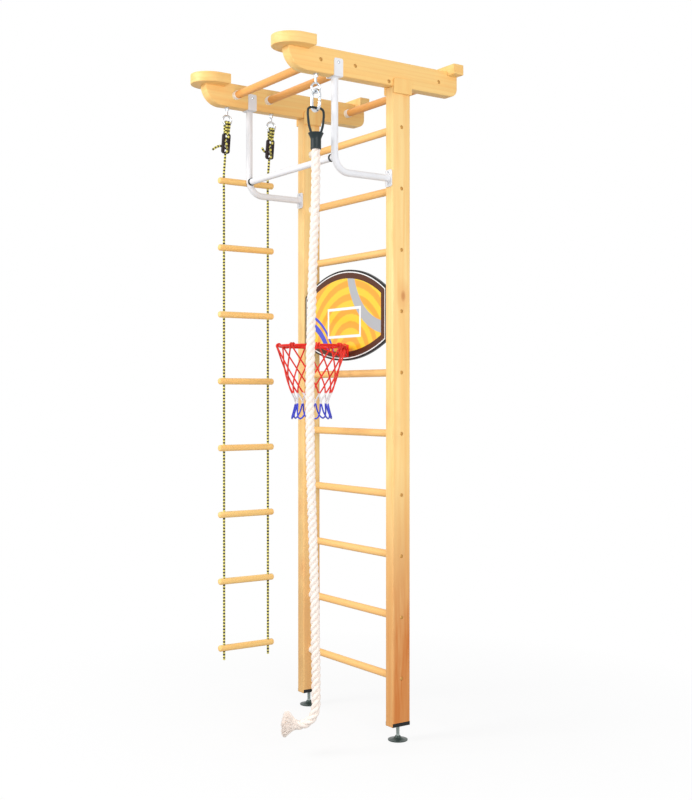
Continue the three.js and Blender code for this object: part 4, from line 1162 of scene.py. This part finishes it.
class WALLBARS_OT_rope_fittings(Operator):
    """Add the eye bolt, snap link, coated loop and sleeve that carry the climbing rope"""

    bl_idname = "wall_bars.rope_fittings"
    bl_label = "Rope fittings"

    def link(self):
        low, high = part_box("rope_link")
        spot = (low + high) / 2
        stock = high.y - low.y
        radius = (high.x - low.x - stock) / 2
        top, bottom = high.z - stock / 2 - radius, low.z + stock / 2 + radius
        route = [Vector((spot.x + across, spot.y, top + up)) for across, up in arc((0, 0), radius, 0, 180, 20)]
        route += [Vector((spot.x + across, spot.y, bottom + up)) for across, up in arc((0, 0), radius, 180, 360, 20)]
        route = [route[0] - LINK_STUB * Z, *route, route[-1] + LINK_STUB * Z]
        link = tubes("rope_link_rod", [route], stock / 2, 18)
        placed(link, "swing_link", "bright_steel", "bright_plate", "rope_link", angle=50)
        low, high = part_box("link_gate")
        spot, radius = (low + high) / 2, (high.y - low.y) / 2
        outline = [(0, 0), (0.6 * radius, 0), *arc((0.6 * radius, 0.4 * radius), 0.4 * radius, -90, 0, 4)]
        for step in range(5):
            height = 0.005 + 0.0022 * step
            outline += [(radius, height), (0.86 * radius, height + 0.0006), (0.86 * radius, height + 0.0012)]
        outline += [(radius, high.z - low.z - 0.001), (radius - 0.001, high.z - low.z), (0, high.z - low.z)]
        gate = turned("link_gate_pin", outline, (spot.x, spot.y, low.z))
        placed(gate, "link_latch", "bright_steel", "bright_plate", "link_gate", angle=35)

    def loop(self):
        low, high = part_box("rope_loop")
        spot = (low + high) / 2
        sleeve_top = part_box("rope_sleeve")[1].z
        half = (high.y - low.y - LOOP_STOCK) / 2
        top = high.z - LOOP_STOCK / 2
        drop = top - sleeve_top
        side = [(half * width, top - drop * depth) for width, depth in LOOP_SHAPE]
        side += [(across, sleeve_top - depth) for across, depth in LOOP_LEGS]
        points = [(-across, up) for across, up in reversed(side)] + [(0, top)] + side
        line = smoothed([(spot.x, spot.y + across, up) for across, up in points], 0.004)
        loop = tubes("rope_loop_cable", [line], LOOP_STOCK / 2, 16)
        placed(loop, "hanging_rope", "black_coat", "black_coat", "rope_loop", angle=180)

    def sleeve(self):
        low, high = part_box("rope_sleeve")
        spot, collar, tall = (low + high) / 2, (high.x - low.x) / 2, high.z - low.z
        radius, inner, eye = SLEEVE_RADIUS, ROPE_RADIUS + 0.0003, 0.006
        seat, rim = tall - SLEEVE_COLLAR, 0.003
        flare = [(radius + (collar - radius) * share ** 1.3, seat + (SLEEVE_COLLAR - rim) * share)
                 for share in [step / 8 for step in range(9)]]
        outline = [(inner, 0), (radius - 0.001, 0), (radius, 0.001), *flare]
        outline += [*arc((collar - rim, tall - rim), rim, 20, 90, 5), (eye, tall), (eye, seat), (inner, seat)]
        sleeve = turned("rope_sleeve_crimp", outline, (spot.x, spot.y, low.z), steps=56)
        (wide, _), (close, depth) = LOOP_LEGS
        for sign in (-1, 1):
            foot = Vector((spot.x, spot.y + sign * close, high.z - depth))
            slant = (Vector((spot.x, spot.y + sign * wide, high.z)) - foot).normalized()
            bore(sleeve, dowel("hole", foot - 0.0005 * slant, foot + 0.05 * slant, LOOP_STOCK / 2 + 0.0006, 0.0005))
        placed(sleeve, "hanging_rope", "black_coat", "black_coat", "rope_sleeve", angle=35)

    def execute(self, context):
        eye_bolt("rope_eye_bolt", "right_beam")
        self.link()
        self.loop()
        self.sleeve()
        return {"FINISHED"}


class WALLBARS_OT_ladder(Operator):
    """Add the ladder's eyes, adjusters and rungs"""

    bl_idname = "wall_bars.ladder"
    bl_label = "Rope ladder"

    def sling(self, end, sign, top):
        """One loop of the doubled cord, over the ring on one side of its lowest point and down to the plate."""
        low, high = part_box(f"ladder_eye_{end}")
        eye = (low + high) / 2
        radius = (high.y - low.y - EYE_STOCK) / 2
        reach = EYE_STOCK / 2 + LADDER_CORD_RADIUS + SLING_PLAY
        aside = LADDER_CORD_RADIUS + GAP
        middle = low.z + EYE_STOCK / 2 + radius
        bar = middle - math.sqrt(radius ** 2 - aside ** 2)
        crest = middle - math.sqrt((radius - reach) ** 2 - aside ** 2)
        side = eye.y + sign * aside
        over = [Vector((eye.x + across, side, bar + (crest - bar) * up / reach))
                for across, up in arc((0, 0), reach, 0, 180, 16)]
        legs = [Vector((eye.x + across, eye.y + sign * 0.0062, top - 0.006)) for across in (0.003, -0.003)]
        return [legs[0], *over, legs[1]]

    def adjuster(self, end, lay):
        node = f"ladder_adjuster_{end}"
        eye, bend = ladder_slope(end)
        slope = Matrix.Rotation(math.atan2(eye.x - bend.x, eye.z - bend.z), 4, "Y")
        leaning = Matrix.Translation(eye) @ slope @ Matrix.Translation(-eye)
        cord = LADDER_CORD_RADIUS
        top = eye.z - SLING_LENGTH
        bottom = top - ADJUSTER_HEIGHT
        spot = Vector((eye.x, eye.y, bottom))
        half = Vector((ADJUSTER_THICKNESS / 2, ADJUSTER_WIDTH / 2, 0))
        plate = block(f"{node}_plate", spot - half, spot + half + ADJUSTER_HEIGHT * Z)
        bevel(plate, ADJUSTER_CORNER, 6, runs(X))
        bevel(plate, 0.0016, 3, rims(X))
        for share in (0.14, 0.37, 0.63, 0.86):
            centre = spot + share * ADJUSTER_HEIGHT * Z
            window = block("window", centre - Vector((1, 0.0066, 0.006)), centre + Vector((1, 0.0066, 0.006)))
            bevel(window, 0.004, 4, runs(X))
            bore(plate, window)
        plate.data.transform(leaning)
        placed(plate, "hanging_ladder", "black_coat", "plate_black", node, angle=35)
        slings = [self.sling(end, sign, top) for sign in (-1, 1)]
        weave = [(eye.x, eye.y, top + 0.004)]
        weave += [(eye.x + x, eye.y + y, bottom + share * ADJUSTER_HEIGHT) for x, y, share in ADJUSTER_WEAVE]
        weave += [(eye.x, eye.y, bottom)]
        tail_z = bottom + ADJUSTER_TAIL_HEIGHT
        drop, reach = ADJUSTER_TAILS[end]
        edge = eye.y - ADJUSTER_WIDTH / 2
        tail = [(eye.x - 0.006, eye.y - 0.004, tail_z), (eye.x - 0.007, edge, tail_z),
                (eye.x - 0.006, edge - 0.5 * reach, tail_z - 0.3 * drop), (eye.x - 0.005, edge - reach, tail_z - drop)]
        lines = [smoothed(points, lay / 18) for points in (*slings, weave, tail)]
        rope = braided(f"{node}_cord", lines, cord, lay)
        rope.data.transform(leaning)
        placed(rope, "hanging_ladder", "yellow_rope", "flecked_yarn", angle=180)

    def rung(self, node, stations):
        low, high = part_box(node)
        spot, radius = (low + high) / 2, (high.z - low.z) / 2
        rung = dowel(f"{node}_dowel", (spot.x, low.y, spot.z), (spot.x, high.y, spot.z), radius, 0.007)
        for y in stations:
            hole = dowel("hole", (spot.x, y, low.z - 0.01), (spot.x, y, high.z + 0.01), LADDER_CORD_RADIUS + 0.0005, 0.0005)
            bore(rung, hole)
        placed(rung, "hanging_ladder", "rung_wood", "ladder_beech", node, angle=35)

    def execute(self, context):
        lay = context.scene.wall_bars.rope.cord_lay
        for end in LADDER_ENDS:
            eye_bolt(f"ladder_eye_{end}", "left_beam")
            self.adjuster(end, lay)
        stations = [middle(f"ladder_eye_{end}").y for end in LADDER_ENDS]
        for node in LADDER_RUNGS:
            self.rung(node, stations)
        return {"FINISHED"}


class WALLBARS_OT_hoop(Operator):
    """Add the board, its clamps, the ring and the net"""

    bl_idname = "wall_bars.hoop"
    bl_label = "Basketball hoop"

    def print_field(self, look):
        """A print of rings, waves and a target frame on the board's field."""
        material, tree = finish("board_field")
        place = object_place(tree)
        parts = node(tree, "SeparateXYZ", {"Vector": place}).outputs
        low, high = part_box("hoop_board")
        centre = (low + high) / 2

        def distance(x, z):
            across = maths(tree, "SUBTRACT", parts["X"], x)
            up = maths(tree, "SUBTRACT", parts["Z"], z)
            return maths(tree, "SQRT", maths(tree, "ADD", maths(tree, "MULTIPLY", across, across),
                                             maths(tree, "MULTIPLY", up, up)))

        def band(value, start, end, soft=0.0006):
            rise = between(tree, value, start - soft, start + soft)
            return maths(tree, "MULTIPLY", rise, between(tree, value, end + soft, end - soft))

        sun = distance(0.04, low.z + 0.02)
        wave = maths(tree, "SINE", maths(tree, "MULTIPLY", sun, math.tau / 0.052))
        brush = noise(tree, object_place(tree, (1, 1, 6)), 38, 4, 1.5)
        tint = mixed(tree, between(tree, maths(tree, "ADD", wave, brush), 0.35, 0.75), look.yellow, look.orange)
        tint = mixed(tree, band(distance(high.x + 0.02, high.z + 0.02), 0.23, 0.275), tint, look.grey)
        tint = mixed(tree, band(distance(low.x - 0.03, low.z - 0.05), 0.20, 0.225), tint, look.blue)
        tint = mixed(tree, band(distance(low.x - 0.03, low.z - 0.05), 0.238, 0.25), tint, look.blue)
        wide = maths(tree, "SUBTRACT", maths(tree, "ABSOLUTE", maths(tree, "SUBTRACT", parts["X"], 0.0)), 0.112)
        tall = maths(tree, "SUBTRACT",
                     maths(tree, "ABSOLUTE", maths(tree, "SUBTRACT", parts["Z"], centre.z - 0.028)), 0.058)
        tint = mixed(tree, band(maths(tree, "MAXIMUM", wide, tall), -0.010, 0.0), tint, look.pinline)
        shaded(tree, Base_Color=tint, Roughness=0.3, Coat_Weight=0.2, Normal=bumped(tree, brush, 0.03, 0.0003))
        FINISHES["board_field"] = material

    def outline(self, inset):
        """The board's edge drawn in by an inset: a high arch, straight sides and a low arch."""
        low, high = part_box("hoop_board")
        points = []
        for rise, end, start in ((BOARD_TOP_RISE, high.z, 90), (-BOARD_FOOT_RISE, low.z, 270)):
            radius = (high.x ** 2 + rise ** 2) / (2 * abs(rise))
            spread = math.degrees(math.asin((high.x - inset) / (radius - inset)))
            centre = (0, end - math.copysign(radius, rise))
            points += arc(centre, radius - inset, start - spread, start + spread, 36)
        return points

    def board(self, look):
        low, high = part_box("hoop_board")
        layers = [(BOARD_EDGE, high.y), (0, high.y - BOARD_EDGE), (0, low.y + BOARD_EDGE), (BOARD_EDGE, low.y)]
        kinds = [0, 0, 0, *range(len(BOARD_BANDS))]
        layers += [(inset, low.y) for inset in BOARD_BANDS.values()]
        corners, sides = [], []
        for inset, y in layers:
            corners += [(across, y, up) for across, up in self.outline(inset)]
        count = len(corners) // len(layers)
        for layer in range(len(layers) - 1):
            here, there = layer * count, (layer + 1) * count
            for side in range(count):
                after = (side + 1) % count
                sides.append((here + side, here + after, there + after, there + side))
        back, field = tuple(reversed(range(count))), tuple(range(len(corners) - count, len(corners)))
        mesh = bpy.data.meshes.new("hoop_board_panel")
        mesh.from_pydata(corners, [], [back, *sides, field])
        tints = {"board_rim": look.rim, "board_pinline": look.pinline, "board_border": look.border}
        for name, tint in tints.items():
            FINISHES[name] = paint(name, tint, 0.32, 500, 0.03)
        self.print_field(look)
        board = bpy.data.objects.new("hoop_board_panel", mesh)
        bpy.context.scene.collection.objects.link(board)
        bands = [0, *[kind for kind in kinds for _ in range(count)], len(BOARD_BANDS)]
        mesh.polygons.foreach_set("material_index", bands)
        placed(board, "hoop_set", "board_print", " ".join([*tints, "board_field"]), "hoop_board", angle=30)

    def clamp(self, side):
        node = f"{side}_rung_clamp"
        low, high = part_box(node)
        rung = middle(f"wall_rung_{HOOP_RUNG:02d}")
        radius = (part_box(f"wall_rung_{HOOP_RUNG:02d}")[1].z - rung.z) + GAP
        wide = high.x - low.x
        outer = radius + CLAMP_WALL
        outline = [(radius, 0), (outer - 0.0006, 0), (outer, 0.0006), (outer, wide - 0.0006), (outer - 0.0006, wide), (radius, wide)]
        clamp = turned(f"{node}_steel", outline, (low.x, 0, rung.z), X, steps=48)
        bore(clamp, block("mouth", (low.x - 1, 0, rung.z - 0.0073), (high.x + 1, 0.1, rung.z + 0.0073)))
        plate = block("plate", low, (high.x, -outer + 0.0004, high.z))
        bevel(plate, 0.005, 4, runs(Y))
        weld(clamp, plate)
        placed(clamp, "hoop_set", "black_steel", "black_steel", node, angle=30)
        return [stood((rung.x + (low.x + high.x) / 2, -outer + 0.0004, rung.z + turn * 0.028), Y) for turn in (-1, 1)]

    def hoop(self):
        low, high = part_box("hoop_ring")
        radius = (high.x - low.x - HOOP_STOCK) / 2
        centre = Vector((0, low.y + HOOP_STOCK / 2 + radius, high.z - HOOP_ARM))
        plate_low, plate_high = Vector((-HOOP_PLATE / 2, high.y - 0.004, low.z)), Vector((HOOP_PLATE / 2, high.y, high.z))
        hoop = ring("hoop_ring_steel", centre, Z, radius, HOOP_STOCK, 96, 18)
        reach = HOOP_ARMS / 2
        arms = [dowel("arm", (sign * reach, high.y - 0.002, centre.z),
                      (sign * reach, centre.y + math.sqrt(radius ** 2 - reach ** 2), centre.z), HOOP_ARM / 2, 0.0005)
                for sign in (-1, 1)]
        turn = math.radians(HOOP_BRACE_TURN)
        braces = [dowel("brace", (sign * HOOP_BRACES / 2, high.y - 0.003, plate_low.z + HOOP_BRACE),
                        (sign * radius * math.sin(turn), centre.y + radius * math.cos(turn), centre.z),
                        HOOP_BRACE / 2, 0.0005) for sign in (-1, 1)]
        plate = block("plate", plate_low, plate_high)
        bevel(plate, 0.006, 4, runs(Y))
        bevel(plate, 0.0006, 2, rims(Y))
        weld(hoop, plate, *arms, *braces)
        placed(hoop, "hoop_set", "red_paint", "red_coat", "hoop_ring", angle=40)
        spots = [stood((across, high.y - 0.004, (plate_low.z + plate_high.z) / 2 + up), -Y)
                 for across in (-0.022, 0.022) for up in (-0.0165, 0.0165)]
        return centre, radius, spots

    def net(self, centre, radius, look):
        """Twines that are hung over the ring, cross at the knots and end in round loops."""
        over = arc((radius, 0), HOOP_STOCK / 2 + NET_RADIUS + GAP, 225, -45, 9)
        rows = [*[(reach, -up, 0.05) for reach, up in over], *NET_ROWS]
        lines = []
        for hand in (-1, 1):
            for column in range(NET_COLUMNS):
                knots = []
                for reach, depth, shift in rows:
                    turn = math.tau * (column + 0.5 + hand * shift) / NET_COLUMNS
                    place = Vector((reach * math.cos(turn), reach * math.sin(turn), -depth))
                    knots.append(centre + place)
                lines.append(smoothed(knots, 0.008))
        net = tubes("hoop_net_twine", lines, NET_RADIUS, 8)
        bands = [(centre.z - 0.175, look.net_red), (centre.z - 0.215, look.net_white), (0, look.blue)]
        FINISHES["dyed_twine"] = banded("dyed_twine", bands, 0.85)
        placed(net, "hoop_set", "net_twine", "dyed_twine", "hoop_net", angle=180)

    def execute(self, context):
        look = context.scene.wall_bars.hoop
        self.board(look)
        bolts = self.clamp("left") + self.clamp("right")
        centre, radius, spots = self.hoop()
        heads = copies("hoop_bolts", screw_head("bolt", 0.0055, 0.003), spots + bolts)
        placed(heads, "hoop_set", "black_steel", "black_steel", angle=30)
        self.net(centre, radius, look)
        return {"FINISHED"}


PIECES = ("stage", "climbing_rope", "ladder_ropes", "posts", "beams", "rungs", "pull_up", "feet", "rope_fittings",
          "ladder", "hoop")


class WALLBARS_PT_panel(Panel):
    """Sizes, colours and buttons for the wall bars"""

    bl_idname = "WALLBARS_PT_panel"
    bl_label = "Wall Bars"
    bl_space_type = "VIEW_3D"
    bl_region_type = "UI"
    bl_category = "Wall Bars"

    def draw(self, context):
        settings = context.scene.wall_bars
        for group in (settings.wood, settings.metal, settings.rope, settings.hoop):
            box = self.layout.box()
            for key in group.__annotations__:
                box.prop(group, key)
        for piece in PIECES:
            self.layout.operator(f"wall_bars.{piece}")


CLASSES = (
    WoodSettings, MetalSettings, RopeSettings, HoopSettings, WallBarsSettings,
    WALLBARS_OT_stage, WALLBARS_OT_climbing_rope, WALLBARS_OT_ladder_ropes, WALLBARS_OT_posts, WALLBARS_OT_beams,
    WALLBARS_OT_rungs, WALLBARS_OT_pull_up, WALLBARS_OT_feet, WALLBARS_OT_rope_fittings, WALLBARS_OT_ladder,
    WALLBARS_OT_hoop, WALLBARS_PT_panel,
)


def register():
    for kind in CLASSES:
        bpy.utils.register_class(kind)
    bpy.types.Scene.wall_bars = PointerProperty(type=WallBarsSettings)


def unregister():
    del bpy.types.Scene.wall_bars
    for kind in reversed(CLASSES):
        bpy.utils.unregister_class(kind)


def main():
    register()
    for piece in PIECES:
        getattr(bpy.ops.wall_bars, piece)()


if __name__ == "__main__":
    main()
